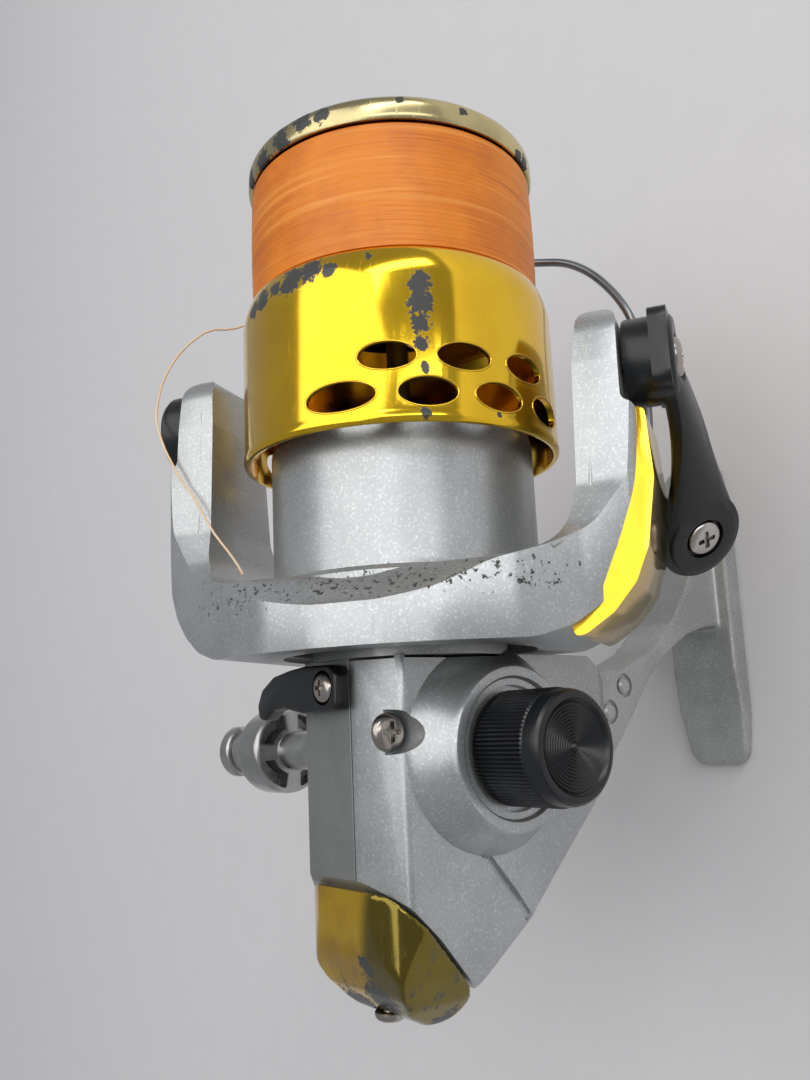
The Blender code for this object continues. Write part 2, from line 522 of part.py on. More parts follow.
for s, tag in ((1, "r"), (-1, "l")):
    ends = sorted((s * 28.0, s * 38.0))
    cut(rotor, rod("pivot_way_" + tag, "Y", (PIVOT_X, 0.0), 1.8, ends[0], ends[1], segs=16, turn=RT,
                   cutter=True))
cut(rotor, box("spring_pocket", (2.6, 33.6, -4.4), (21.4, 41.0, 4.4), turn=RT, cutter=True))

COVER_OUT = [(22.6, ARM_OUT + 0.35), (22.0, 39.4), (12.0, 40.0), (2.0, 38.6), (-2.8, 36.8), (-6.6, 33.6),
             (-9.3, 29.6), (-9.5, 28.2)]
COVER_IN = [(-8.9, 28.6), (-5.8, 32.5), (-2.5, 35.1), (1.9, 36.9), (12.0, ARM_OUT + 0.15)]
arm_cover = prism("arm_cover", COVER_OUT + COVER_IN, "Z", -7.6, 7.6, GOLD, turn=RT)
bevel(arm_cover, 0.4, 1, 50.0)

nut("rotor_nut", 5.8, 2.95 + GAP, 24.75, 26.8)

# ---- bail ---------------------------------------------------------------------------------------


END = Vector((6.8, 44.5, 17.0))
NORMAL = Vector((-0.58, 0.57, -0.57)).normalized()


def end_frame():
    """Matrix from the roller frame (Y outward along the roller axis) to the reel frame."""
    along = Vector((END.x - PIVOT_X, END.y - 42.0, END.z)).normalized()
    side = along.cross(NORMAL).normalized()
    front = NORMAL.cross(side).normalized()
    local = Matrix((front, NORMAL, side)).transposed().to_4x4()
    if local.determinant() < 0:
        local = Matrix((front, NORMAL, -side)).transposed().to_4x4()
    return ROTOR_TURN @ Matrix.Translation(END) @ local


RN = end_frame()


def bail_plate(name, mat):
    """Blade from the pivot hub to the roller end, twisting as it goes."""
    start = Vector((PIVOT_X, 42.3, 0.0))
    stop = END - NORMAL * 1.6
    along = (stop - start).normalized()
    bm = bmesh.new()
    rings = []
    steps = 6
    for k in range(steps + 1):
        t = k / steps
        flat = Vector((0.0, 1.0, 0.0)).lerp(NORMAL, t * t * (3 - 2 * t))
        flat = (flat - along * flat.dot(along)).normalized()
        side = along.cross(flat)
        half = HUB_R - 0.7 + (7.0 - HUB_R + 0.7) * t - 2.4 * math.sin(math.pi * t)
        thick = 1.45
        centre = start.lerp(stop, t) + flat * 1.5 * math.sin(math.pi * t)
        rings.append([bm.verts.new(centre + side * half * u + flat * thick * w)
                      for u, w in ((-1.0, -0.6), (-0.86, -1.0), (0.86, -1.0), (1.0, -0.6), (1.0, 0.5),
                                   (0.8, 1.0), (-0.8, 1.0), (-1.0, 0.5))])
    for ring, after in zip(rings, rings[1:]):
        for i in range(8):
            j = (i + 1) % 8
            bm.faces.new((ring[i], ring[j], after[j], after[i]))
    bm.faces.new(rings[0])
    bm.faces.new(list(reversed(rings[-1])))
    return place(name, bm, mat, RT)


AT = (PIVOT_X, 0.0)
ZERO = (0.0, 0.0)
bail_arm = bail_plate("bail_arm", BLACK)
join(bail_arm, turned("bail_hub", [(36.7, 0.0), (36.7, HUB_R - 0.4), (43.4, HUB_R - 0.4), (44.0, HUB_R - 1.0),
                                   (44.0, 0.0)], "Y", AT, None, 24, closed=False, turn=RT, cutter=True))
join(bail_arm, turned("roller_end", [(-3.3, 0.0), (-3.3, 7.0), (-2.9, 7.3), (-0.7, 7.3), (0.0, 6.6), (0.0, 0.0)],
                      "Y", ZERO, None, 24, closed=False, turn=RN, cutter=True))
cut(bail_arm, rod("bail_hub_way", "Y", AT, 1.8, 36.0, 48.0, segs=14, turn=RT, cutter=True))
cut(bail_arm, rod("bail_hub_sink", "Y", AT, 3.6, 43.1, 48.0, segs=20, turn=RT, cutter=True))
cut(bail_arm, rod("roller_screw_way", "Y", ZERO, 1.5, -9.0, 2.0, segs=14, turn=RN, cutter=True))
cut(bail_arm, rod("roller_screw_sink", "Y", ZERO, 3.4, -1.0, 2.0, segs=20, turn=RN, cutter=True))
screw("bail_pivot_screw", "Y", AT, 44.9, -1, 3.1, 1.45, 1.4, 10.5, turn=RT)
screw("roller_screw", "Y", ZERO, 0.5, -1, 2.9, 1.15, 1.15, 9.2, turn=RN)
turned("line_roller", [(-3.65, 1.5), (-3.65, 4.1), (-4.4, 4.1), (-5.4, 3.1), (-6.8, 3.1), (-7.9, 4.0),
                       (-8.3, 4.0), (-8.3, 1.5)], "Y", ZERO, STEEL, 20, turn=RN)
cone = turned("wire_end_cap", [(-8.65, 0.0), (-8.65, 3.3), (-9.6, 3.3), (-12.4, 1.2), (-12.4, 0.0)], "Y", ZERO,
              DARK, 18, closed=False, turn=RN)
cut(cone, rod("wire_end_way", "Y", ZERO, 1.5, -10.4, -8.0, segs=14, turn=RN, cutter=True))

holder = rod("bail_holder", "Y", AT, HUB_R, -41.4, -36.65, BLACK, segs=20, turn=RT)
join(holder, prism("holder_ear", [(PIVOT_X - 5.4, 2.0), (PIVOT_X - 1.2, 11.2), (PIVOT_X + 4.6, 11.2),
                                  (PIVOT_X + 6.0, 2.0)], "Y", -41.0, -37.4, turn=RT, cutter=True))
bevel(holder, 0.5, 1, 50.0)
cut(holder, rod("holder_way", "Y", AT, 1.8, -46.0, -36.0, segs=14, turn=RT, cutter=True))
screw("holder_pivot_screw", "Y", AT, -43.4, 1, 3.0, 1.6, 1.4, 8.5, turn=RT, cross=False)

TIP = END - NORMAL * 12.95
LEAD = END - NORMAL * 14.6
WIRE_ROUTE = [tuple(TIP), tuple(LEAD), (20.5, 35.2, 29.4), (31.5, 36.2, 30.6), (43.0, 36.2, 28.8),
              (51.5, 34.6, 28.4), (60.0, 29.8, 31.0), (65.5, 24.0, 33.2), (68.2, 17.0, 35.2),
              (70.2, 8.0, 36.4), (70.6, 0.0, 36.4), (69.4, -9.0, 35.6), (66.0, -18.2, 33.4),
              (58.6, -28.6, 28.0), (50.0, -34.4, 21.6), (42.0, -37.2, 16.2), (36.6, -38.6, 13.4),
              (33.2, -39.2, 12.4)]
wire_pts = [rotor_vec(*p) for p in [tuple(v) for v in smooth_path(WIRE_ROUTE, 34)]]
tube("bail_wire", wire_pts, 0.75, DARK)

coil = []
for k in range(33):
    t = k / 32.0
    ang = t * 2 * math.pi * 4
    coil.append(rotor_vec(6.4 + 12.6 * t, 35.9 + 1.45 * math.cos(ang), 1.45 * math.sin(ang)))
tube("bail_spring", coil, 0.28, STEEL, 1)
rod("bail_spring_rod", "X", (35.9, 0.0), 0.75, 3.4, 20.6, STEEL, segs=12, turn=RT)

# ---- spool --------------------------------------------------------------------------------------
SPOOL_PTS = [(69.5, 11.0), (69.5, 14.4), (68.2, 14.4), (68.2, 22.8), (66.9, 22.8), (66.9, 13.8), (46.9, 13.8),
             (46.9, 23.4), (45.4, 24.6), (42.6, SKIRT_R), (20.6, SKIRT_R + 0.15), (20.5, SKIRT_R - 0.9),
             (43.4, SKIRT_R - 0.9), (44.9, 22.6), (44.9, 12.4),
             (54.5, 12.4), (54.5, 5.0), (46.0, 5.0), (46.0, SHAFT_R + GAP), (56.0, SHAFT_R + GAP), (56.0, 11.0)]
spool = turned("spool", SPOOL_PTS, "X", (0.0, 0.0), GOLD, 36)
vents = bmesh.new()
VENT_ROWS = ((30.0, 2.1, 4.25, 0.5, (5, 6, 7)), (24.7, 2.25, 4.35, 0.0, (5, 6, 7, 8)))
for hx, half_x, wide_t, shift, group in VENT_ROWS:
    for i in group + tuple(k + HOLES // 2 for k in group):
        first = shift == 0.0 and i % (HOLES // 2) == group[0]
        half_t = wide_t + (1.05 if first else 0.0)
        turn_at = math.radians(360.0 / HOLES * (i + shift)) - math.radians(6.7 if first else 3.5)
        spin = Matrix.Rotation(turn_at, 4, "X")
        ring_lo, ring_hi = [], []
        for k in range(8):
            t = 2 * math.pi * (k + 0.5) / 8
            px, py = hx + half_x * math.cos(t), half_t * math.sin(t)
            ring_lo.append(vents.verts.new(spin @ Vector((px, SKIRT_R - 3.0, py))))
            ring_hi.append(vents.verts.new(spin @ Vector((px, SKIRT_R + 2.0, py))))
        vents.faces.new(ring_lo)
        vents.faces.new(list(reversed(ring_hi)))
        for k in range(8):
            j = (k + 1) % 8
            vents.faces.new((ring_lo[k], ring_hi[k], ring_hi[j], ring_lo[j]))
cut(spool, place("skirt_holes", vents, None, None, True))

turned("spool_lip", [(70.4, 15.0), (71.2, 22.0), (70.4, LIP_R), (67.0, LIP_R), (67.0, 23.12), (68.52, 23.12),
                     (68.52, 15.0)], "X", (0.0, 0.0), BRASS, 36)
turned("line_winding", [(66.58, 14.12), (66.58, LINE_R - 0.25), (62.0, LINE_R), (51.0, LINE_R + 0.15),
                        (47.22, LINE_R - 0.2), (47.22, 14.12)], "X", (0.0, 0.0), LINE, 36)
STACK = (("drag_felt_a", 56.32, 57.3, 2.6, FELT), ("drag_key_washer", 57.62, 58.2, 2.3, STEEL),
         ("drag_felt_b", 58.52, 59.5, 2.6, FELT), ("drag_ear_washer", 59.82, 60.4, 2.3, STEEL),
         ("drag_felt_c", 60.72, 61.7, 2.6, FELT), ("drag_pressure_plate", 62.02, 62.9, 2.3, STEEL))
for tag, lo, hi, bore, mat in STACK:
    turned(tag, [(hi, bore), (hi, 10.55), (lo, 10.55), (lo, bore)], "X", (0.0, 0.0), mat, 16)
turned("drag_retainer", [(63.9, 9.9), (63.9, 10.6), (63.22, 10.6), (63.22, 9.9)], "X", (0.0, 0.0), STEEL, 20)

knob = turned("drag_knob", [(76.4, 0.0), (76.4, 3.0), (76.0, 6.4), (74.6, 8.8), (73.2, 9.6), (67.4, 9.6),
                            (66.6, 9.0), (64.0, 9.0), (64.0, 6.4), (72.4, 6.4), (72.4, 3.9), (74.2, 3.9),
                            (74.2, 0.0)], "X", (0.0, 0.0), BLACK, 20, closed=False)
flutes = bmesh.new()
for i in range(8):
    t = 2 * math.pi * (i + 0.5) / 8
    made = bmesh.ops.create_cone(flutes, cap_ends=True, segments=8, radius1=1.3, radius2=1.3, depth=12.0)
    bmesh.ops.transform(flutes, matrix=AXES["X"], verts=made["verts"])
    bmesh.ops.translate(flutes, vec=Vector((74.5, 10.1 * math.cos(t), 10.1 * math.sin(t))), verts=made["verts"])
cut(knob, place("knob_flutes", flutes, None, None, True))
nut("drag_nut", 5.7, SHAFT_R + GAP, 69.3, 71.8)
coil = []
for k in range(28):
    t = k / 27.0
    ang = t * 2 * math.pi * 3
    coil.append(Vector((63.7 + 4.9 * t, 4.2 * math.cos(ang), 4.2 * math.sin(ang))))
tube("drag_spring", coil, 0.42, STEEL, 1)
turned("spool_shim", [(45.62, SHAFT_R + GAP), (45.62, 4.6), (45.0, 4.6), (45.0, SHAFT_R + GAP)], "X",
       (0.0, 0.0), STEEL, 16)

# ---- knurled cap and crank ----------------------------------------------------------------------
knurl = []
for i in range(24):
    for off, rad in ((0.0, CAP_R - 0.35), (0.5, CAP_R)):
        t = 2 * math.pi * (i + off) / 24
        knurl.append((HANDLE_X + rad * math.cos(t), HANDLE_Z + rad * math.sin(t)))
knurled = prism("handle_cap", knurl, "Y", -27.6, -16.4, BLACK)
join(knurled, turned("cap_turning", [(-16.0, 0.0), (-16.0, 8.6), (-27.2, 8.6), (-28.4, 7.5), (-28.4, 6.1),
                                     (-27.9, 5.8), (-27.9, 0.0)], "Y", HC, None, 24, closed=False,
                     cutter=True), "INTERSECT")
join(knurled, turned("cap_face", [(-27.0, 0.0), (-27.0, 7.3), (-28.6, 7.3), (-28.7, 6.4), (-28.1, 6.1),
                                  (-28.1, 0.0)], "Y", HC, None, 20, closed=False, cutter=True))
cut(knurled, rod("cap_thread_way", "Y", HC, ROD_R + GAP, -24.0, -15.0, segs=16, cutter=True))

rod("handle_rod", "Y", HC, ROD_R, -23.4, 41.6, STEEL, segs=16)
HUB_Y = 50.8
hub = turned("handle_hub", [(ARM_Y - GAP, 0.0), (ARM_Y - GAP, 4.6), (HUB_Y, 4.6), (HUB_Y, 6.9),
                            (HUB_Y - 1.0, 7.9), (44.2, 7.9), (43.2, 7.4), (42.6, 3.6), (18.0, 3.4), (17.6, 3.0),
                            (17.6, 0.0)], "Y", HC, ZINC, 20, closed=False)
cut(hub, rod("hub_bore", "Y", HC, ROD_R + GAP, 17.0, 42.0, segs=16, cutter=True))
cut(hub, rod("hub_screw_way", "Y", HC, 1.65, HUB_Y - 2.0, ARM_Y + 1.0, segs=12, cutter=True))
ARM_Z0 = HANDLE_Z
arm_pts = (arc(HANDLE_X, ARM_Z0, 5.4, 25, 155, 8)
           + [(HANDLE_X - 5.0, ARM_Z0 - 5.0), (HANDLE_X - 3.9, ARM_Z0 - 20.0),
              (HANDLE_X - 3.7, ARM_Z0 - CRANK + 14.0)]
           + arc(HANDLE_X, ARM_Z0 - CRANK, 5.2, 190, 350, 8)
           + [(HANDLE_X + 3.7, ARM_Z0 - CRANK + 14.0), (HANDLE_X + 3.9, ARM_Z0 - 20.0),
              (HANDLE_X + 5.0, ARM_Z0 - 5.0)])
arm = prism("handle_arm", arm_pts, "Y", ARM_Y, ARM_Y + ARM_T, ZINC)
bevel(arm, 0.7, 1, 50.0)
KC = (HANDLE_X, HANDLE_Z - CRANK)
cut(arm, rod("spindle_way", "Y", KC, 2.5, ARM_Y - 1.0, ARM_Y + ARM_T + 1.0, segs=16, cutter=True))
cut(arm, rod("arm_screw_way", "Y", HC, 1.65, ARM_Y - 1.0, ARM_Y + ARM_T + 1.0, segs=12, cutter=True))
screw("handle_arm_screw", "Y", HC, ARM_Y + ARM_T + GAP + 1.6, -1, 3.0, 1.6, 1.3, ARM_T + 3.4, cross=False)
K0, K1 = KNOB_Y, KNOB_Y + KNOB_L
turned("knob_spindle", [(K1 - 1.0, 0.0), (K1 - 1.0, 3.0), (K1 - 2.5, 3.0), (K1 - 2.5, 1.7), (K0 - 0.6, 1.7),
                        (K0 - 0.6, 2.9), (ARM_Y + ARM_T + GAP, 2.9), (ARM_Y + ARM_T + GAP, 2.15),
                        (ARM_Y + 0.4, 2.15), (ARM_Y + 0.4, 0.0)], "Y", KC, STEEL, 16, closed=False)
GRIP = [(K0, 2.05), (K0, 4.6), (K0 + 2.0, 5.6), (K0 + 7.0, 5.9), (K0 + 13.0, 7.2), (K0 + 19.0, 8.8),
        (K1 - 8.4, 9.4), (K1 - 3.8, 9.0), (K1 - 0.8, 7.4), (K1, 5.6), (K1, 3.6), (K1 - 2.9, 3.6),
        (K1 - 2.9, 2.05)]
grip = turned("handle_knob", GRIP, "Y", KC, BLACK, 18)
turned("knob_end_plug", [(K1 + 1.2, 0.0), (K1 + 1.2, 2.6), (K1 + 0.7, 3.2), (K1 - 0.6, 3.25), (K1 - 0.6, 0.0)],
       "Y", KC, DARK, 16, closed=False)

# ---- loose line tail ----------------------------------------------------------------------------
TAIL_ROUTE = [(60.5, -21.9, 10.1), (56.0, -28.5, 9.0), (52.8, -33.5, 5.6), (51.6, -36.7, 1.9),
              (48.6, -39.7, -0.4), (45.4, -41.3, -2.2), (41.0, -42.2, -4.4), (36.5, -41.4, -7.0),
              (32.7, -40.8, -8.5), (29.3, -39.4, -9.5), (26.1, -37.9, -10.0), (20.0, -34.0, -11.0),
              (17.1, -31.6, -11.4), (11.3, -28.0, -11.9), (7.3, -24.6, -12.6), (4.6, -22.0, -14.2),
              (3.0, -19.8, -17.0)]
tail_pts = [rotor_vec(*p) for p in [tuple(v) for v in smooth_path(TAIL_ROUTE, 32)]]
tube("line_tail", tail_pts, 0.2, TAIL)

bpy.context.view_layer.update()
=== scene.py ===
"""Visual model of a spinning reel: refined outer pieces, finishes, stage, lights and camera."""

import logging
import math
from dataclasses import dataclass, field
from enum import Enum

import bpy
from mathutils import Matrix, Vector


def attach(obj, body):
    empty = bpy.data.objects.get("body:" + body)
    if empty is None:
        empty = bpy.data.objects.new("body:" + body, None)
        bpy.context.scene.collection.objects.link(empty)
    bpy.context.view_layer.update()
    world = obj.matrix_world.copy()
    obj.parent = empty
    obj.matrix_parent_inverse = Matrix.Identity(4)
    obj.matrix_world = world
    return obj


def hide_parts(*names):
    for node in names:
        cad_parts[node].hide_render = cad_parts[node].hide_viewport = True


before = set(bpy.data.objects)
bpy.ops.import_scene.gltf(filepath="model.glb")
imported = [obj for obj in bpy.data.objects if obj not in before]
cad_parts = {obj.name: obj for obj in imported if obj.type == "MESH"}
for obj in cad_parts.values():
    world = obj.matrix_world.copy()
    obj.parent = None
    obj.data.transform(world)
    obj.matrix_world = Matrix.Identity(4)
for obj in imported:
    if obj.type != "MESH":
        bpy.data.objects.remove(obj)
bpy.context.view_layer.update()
LOG = logging.getLogger("reel")

MM = 0.001
AXIS_H = 80.0
GAP = 0.32
ARM_TURN = 211.2
PIVOT_X = 31.4
HANDLE_X = -24.0
HANDLE_Z = -4.8
CRANK = 52.0
ARM_Y = 59.0
KNOB_Y = 64.8
KNOB_L = 32.4
ROTOR_TURN = Matrix.Rotation(math.radians(ARM_TURN), 4, "X")
END = Vector((6.8, 44.5, 17.0))
NORMAL = Vector((-0.58, 0.57, -0.57)).normalized()
Outline = list[tuple[float, float]]


class Way(Enum):
    """Direction that a shape is pushed out or turned about."""

    X = "X"
    Y = "Y"
    Z = "Z"


class Op(Enum):
    """How one solid is worked into another."""

    JOIN = "UNION"
    CUT = "DIFFERENCE"
    KEEP = "INTERSECT"


TURNS: dict[Way, Matrix] = {
    Way.X: Matrix.Rotation(math.pi / 2, 4, "Y"),
    Way.Y: Matrix.Rotation(-math.pi / 2, 4, "X"),
    Way.Z: Matrix.Identity(4),
}


def end_frame() -> Matrix:
    """Matrix from the roller's own frame, Y outward along its axis, to the reel's.

    Returns:
        The matrix, in millimetres about the spool axis.
    """
    along = Vector((END.x - PIVOT_X, END.y - 42.0, END.z)).normalized()
    side = along.cross(NORMAL).normalized()
    front = NORMAL.cross(side).normalized()
    local = Matrix((front, NORMAL, side)).transposed().to_4x4()
    if local.determinant() < 0:
        local = Matrix((front, NORMAL, -side)).transposed().to_4x4()
    return ROTOR_TURN @ Matrix.Translation(END) @ local


ROLLER_TURN = end_frame()


def arc(cx: float, cy: float, radius: float, start: float, stop: float, steps: int) -> Outline:
    """Points of a circular arc.

    Args:
        cx: Centre, first axis.
        cy: Centre, second axis.
        radius: Radius.
        start: First angle in degrees.
        stop: Last angle in degrees.
        steps: Number of spans.

    Returns:
        The points in order.
    """
    turns = [math.radians(start + (stop - start) * i / steps) for i in range(steps + 1)]
    return [(cx + radius * math.cos(t), cy + radius * math.sin(t)) for t in turns]


def rounded(points: Outline, radius: float, steps: int = 5) -> Outline:
    """A closed outline with its corners rounded.

    Args:
        points: The corners in order.
        radius: Largest rounding radius.
        steps: Spans of each rounded corner.

    Returns:
        The denser outline.
    """
    out: Outline = []
    count = len(points)
    for i in range(count):
        here = Vector(points[i])
        back = Vector(points[i - 1]) - here
        ahead = Vector(points[(i + 1) % count]) - here
        turn = math.pi - back.angle(ahead)
        if turn < math.radians(2.0):
            out.append(points[i])
            continue
        reach = min(radius * math.tan(turn / 2), back.length * 0.48, ahead.length * 0.48)
        first, last = here + back.normalized() * reach, here + ahead.normalized() * reach
        for k in range(steps + 1):
            t = k / steps
            p = first * (1 - t) ** 2 + here * 2 * t * (1 - t) + last * t * t
            out.append((p.x, p.y))
    return out


def smooth_path(route: list[Vector], count: int) -> list[Vector]:
    """Evenly stepped points of a Catmull-Rom curve through a short route.

    Args:
        route: The points that the curve passes through.
        count: How many points to return.

    Returns:
        The points in order.
    """
    pts = [route[0] * 2 - route[1]] + list(route) + [route[-1] * 2 - route[-2]]
    dense: list[Vector] = []
    for i in range(1, len(pts) - 2):
        p0, p1, p2, p3 = pts[i - 1], pts[i], pts[i + 1], pts[i + 2]
        for k in range(24):
            t = k / 24.0
            dense.append(0.5 * ((2 * p1) + (p2 - p0) * t + (2 * p0 - 5 * p1 + 4 * p2 - p3) * t * t
                                + (3 * p1 - p0 - 3 * p2 + p3) * t ** 3))
    dense.append(pts[-2])
    length = [0.0]
    for i in range(1, len(dense)):
        length.append(length[-1] + (dense[i] - dense[i - 1]).length)
    out: list[Vector] = []
    for k in range(count):
        want = length[-1] * k / (count - 1)
        i = 1
        while i < len(length) - 1 and length[i] < want:
            i += 1
        span = max(length[i] - length[i - 1], 1e-9)
        out.append(dense[i - 1].lerp(dense[i], (want - length[i - 1]) / span))
    return out


class Bench:
    """The modelling bench: makes and works meshes, in millimetres about the spool axis."""

    @staticmethod
    def clear() -> None:
        """Leave edit mode and deselect everything."""
        if bpy.context.object is not None and bpy.context.object.mode != "OBJECT":
            bpy.ops.object.mode_set(mode="OBJECT")
        bpy.ops.object.select_all(action="DESELECT")

    @classmethod
    def only(cls, obj: bpy.types.Object) -> None:
        """Select one object alone and make it active."""
        cls.clear()
        obj.select_set(True)
        bpy.context.view_layer.objects.active = obj

    @classmethod
    def settle(cls, obj: bpy.types.Object, turn: Matrix | None) -> bpy.types.Object:
        """Turn a piece into the reel's frame, in metres, with its place in its mesh.

        Args:
            obj: The piece, in millimetres.
            turn: Extra turn about the spool axis, or None.

        Returns:
            The same object.
        """
        place = Matrix.Translation((0.0, 0.0, AXIS_H))
        if turn is not None:
            place = place @ turn
        cls.only(obj)
        obj.data.transform(Matrix.Scale(MM, 4) @ place)
        obj.data.update()
        return obj

    @classmethod
    def plate(cls, name: str, outline: Outline, way: Way, low: float, high: float,
              turn: Matrix | None = None) -> bpy.types.Object:
        """A flat outline pushed out along one axis.

        Args:
            name: Name of the piece.
            outline: Corners in the two other axes.
            way: The axis to push along.
            low: Where it starts.
            high: Where it ends.
            turn: Extra turn, or None.

        Returns:
            The new object.
        """
        cls.clear()
        bpy.ops.mesh.primitive_circle_add(vertices=len(outline), radius=1.0, fill_type="NGON")
        obj = bpy.context.object
        obj.name = name
        for vert, (u, v) in zip(obj.data.vertices, outline):
            vert.co = {Way.X: (low, u, v), Way.Y: (u, low, v), Way.Z: (u, v, low)}[way]
        push = {Way.X: (high - low, 0, 0), Way.Y: (0, high - low, 0), Way.Z: (0, 0, high - low)}[way]
        bpy.ops.object.mode_set(mode="EDIT")
        bpy.ops.mesh.select_all(action="SELECT")
        bpy.ops.mesh.extrude_region_move(TRANSFORM_OT_translate={"value": push})
        bpy.ops.mesh.select_all(action="SELECT")
        bpy.ops.mesh.normals_make_consistent(inside=False)
        bpy.ops.object.mode_set(mode="OBJECT")
        return cls.settle(obj, turn)

    @classmethod
    def spun(cls, name: str, profile: Outline, way: Way, centre: tuple[float, float], steps: int,
             turn: Matrix | None = None) -> bpy.types.Object:
        """A closed profile spun about an axis.

        Args:
            name: Name of the piece.
            profile: (along, radius) corners of the section.
            way: The axis.
            centre: Where the axis runs, in the two other axes.
            steps: Steps round.
            turn: Extra turn, or None.

        Returns:
            The new object.
        """
        cls.clear()
        bpy.ops.mesh.primitive_circle_add(vertices=len(profile), radius=1.0, fill_type="NOTHING")
        obj = bpy.context.object
        obj.name = name
        for vert, (t, r) in zip(obj.data.vertices, profile):
            vert.co = (r, 0.0, t)
        bpy.ops.object.mode_set(mode="EDIT")
        bpy.ops.mesh.select_all(action="SELECT")
        bpy.ops.mesh.spin(steps=steps, angle=2 * math.pi, center=(0, 0, 0), axis=(0, 0, 1))
        bpy.ops.mesh.select_all(action="SELECT")
        bpy.ops.mesh.remove_doubles(threshold=0.0005)
        bpy.ops.mesh.dissolve_degenerate(threshold=0.0005)
        bpy.ops.mesh.delete_loose()
        bpy.ops.mesh.select_all(action="SELECT")
        bpy.ops.mesh.normals_make_consistent(inside=False)
        bpy.ops.object.mode_set(mode="OBJECT")
        shift = {Way.X: (0.0, centre[0], centre[1]), Way.Y: (centre[0], 0.0, centre[1]),
                 Way.Z: (centre[0], centre[1], 0.0)}[way]
        obj.data.transform(Matrix.Translation(shift) @ TURNS[way])
        return cls.settle(obj, turn)

    @classmethod
    def rod(cls, name: str, way: Way, centre: tuple[float, float], radius: float, low: float,
            high: float, turn: Matrix | None = None, steps: int = 40) -> bpy.types.Object:
        """A plain round tool, used to cut or to join.

        Args:
            name: Name of the tool.
            way: The axis.
            centre: Where the axis runs.
            radius: Radius.
            low: Where it starts.
            high: Where it ends.
            turn: Extra turn, or None.
            steps: Sides.

        Returns:
            The new object.
        """
        ring = [(centre[0] + radius * math.cos(t), centre[1] + radius * math.sin(t))
                for t in (2 * math.pi * (i + 0.37) / steps for i in range(steps))]
        return cls.plate(name, ring, way, low, high, turn)

    @classmethod
    def work(cls, obj: bpy.types.Object, tool: bpy.types.Object, op: Op) -> bpy.types.Object:
        """Work a tool solid into a piece and drop the tool.

        Args:
            obj: The piece.
            tool: The solid to work in.
            op: How.

        Returns:
            The piece.
        """
        cls.only(obj)
        mod = obj.modifiers.new("work", "BOOLEAN")
        mod.operation = op.value
        mod.solver = "EXACT"
        mod.object = tool
        bpy.ops.object.modifier_apply(modifier=mod.name)
        bpy.data.objects.remove(tool, do_unlink=True)
        return obj

    @classmethod
    def ease(cls, obj: bpy.types.Object, width: float, steps: int = 3, angle: float = 35.0) -> bpy.types.Object:
        """Round the sharp edges of a piece.

        Args:
            obj: The piece.
            width: Width of the rounding.
            steps: Spans across it.
            angle: Edges sharper than this are rounded, in degrees.

        Returns:
            The piece.
        """
        cls.only(obj)
        mod = obj.modifiers.new("ease", "BEVEL")
        mod.width = width * MM
        mod.segments = steps
        mod.limit_method = "ANGLE"
        mod.angle_limit = math.radians(angle)
        mod.use_clamp_overlap = True
        mod.harden_normals = False
        bpy.ops.object.modifier_apply(modifier=mod.name)
        return obj

    @classmethod
    def soften(cls, obj: bpy.types.Object, grain: float, rounds: int) -> bpy.types.Object:
        """Round a whole piece softly, as a moulding is.

        Args:
            obj: The piece.
            grain: Size of the fresh faces.
            rounds: How many smoothing rounds it gets.

        Returns:
            The piece.
        """
        cls.only(obj)
        mesh = obj.modifiers.new("remesh", "REMESH")
        mesh.mode = "VOXEL"
        mesh.voxel_size = grain * MM
        bpy.ops.object.modifier_apply(modifier=mesh.name)
        calm = obj.modifiers.new("calm", "SMOOTH")
        calm.factor = 0.5
        calm.iterations = rounds
        bpy.ops.object.modifier_apply(modifier=calm.name)
        return obj

    @classmethod
    def tube(cls, name: str, route: list[Vector], radius: float, closed: bool = False,
             mesh: bool = True, sides: int = 4) -> bpy.types.Object:
        """A round tube along points.

        Args:
            name: Name of the piece.
            route: Points in the reel's frame, in millimetres about the spool axis.
            radius: Radius of the tube.
            closed: Whether it closes on itself.
            mesh: Whether to turn it into a mesh.
            sides: Bevel resolution.

        Returns:
            The new object.
        """
        cls.clear()
        curve = bpy.data.curves.new(name, "CURVE")
        curve.dimensions = "3D"
        curve.bevel_depth = radius * MM
        curve.bevel_resolution = sides
        curve.use_fill_caps = not closed
        curve.resolution_u = 1
        line = curve.splines.new("POLY")
        line.points.add(len(route) - 1)
        line.use_cyclic_u = closed
        for point, p in zip(line.points, route):
            point.co = (p.x * MM, p.y * MM, (p.z + AXIS_H) * MM, 1.0)
        obj = bpy.data.objects.new(name, curve)
        bpy.context.scene.collection.objects.link(obj)
        if mesh:
            cls.only(obj)
            bpy.ops.object.convert(target="MESH")
            obj = bpy.context.object
            bpy.ops.object.mode_set(mode="EDIT")
            bpy.ops.mesh.select_all(action="SELECT")
            bpy.ops.mesh.remove_doubles(threshold=0.000001)
            bpy.ops.mesh.normals_make_consistent(inside=False)
            bpy.ops.object.mode_set(mode="OBJECT")
        return obj

    @classmethod
    def done(cls, obj: bpy.types.Object, material: bpy.types.Material, body: str, *nodes: str,
             angle: float = 32.0) -> bpy.types.Object:
        """Shade, dress and place a finished piece.

        Args:
            obj: The piece.
            material: Its finish.
            body: The body it rides on.
            nodes: CAD nodes it stands for.
            angle: Edges sharper than this stay crisp, in degrees.

        Returns:
            The piece.
        """
        obj.data.materials.clear()
        obj.data.materials.append(material)
        if obj.type == "MESH":
            cls.only(obj)
            bpy.ops.object.shade_smooth_by_angle(angle=math.radians(angle))
        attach(obj, body)
        if nodes:
            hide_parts(*nodes)
        LOG.info("piece %s rides on %s", obj.name, body)
        return obj


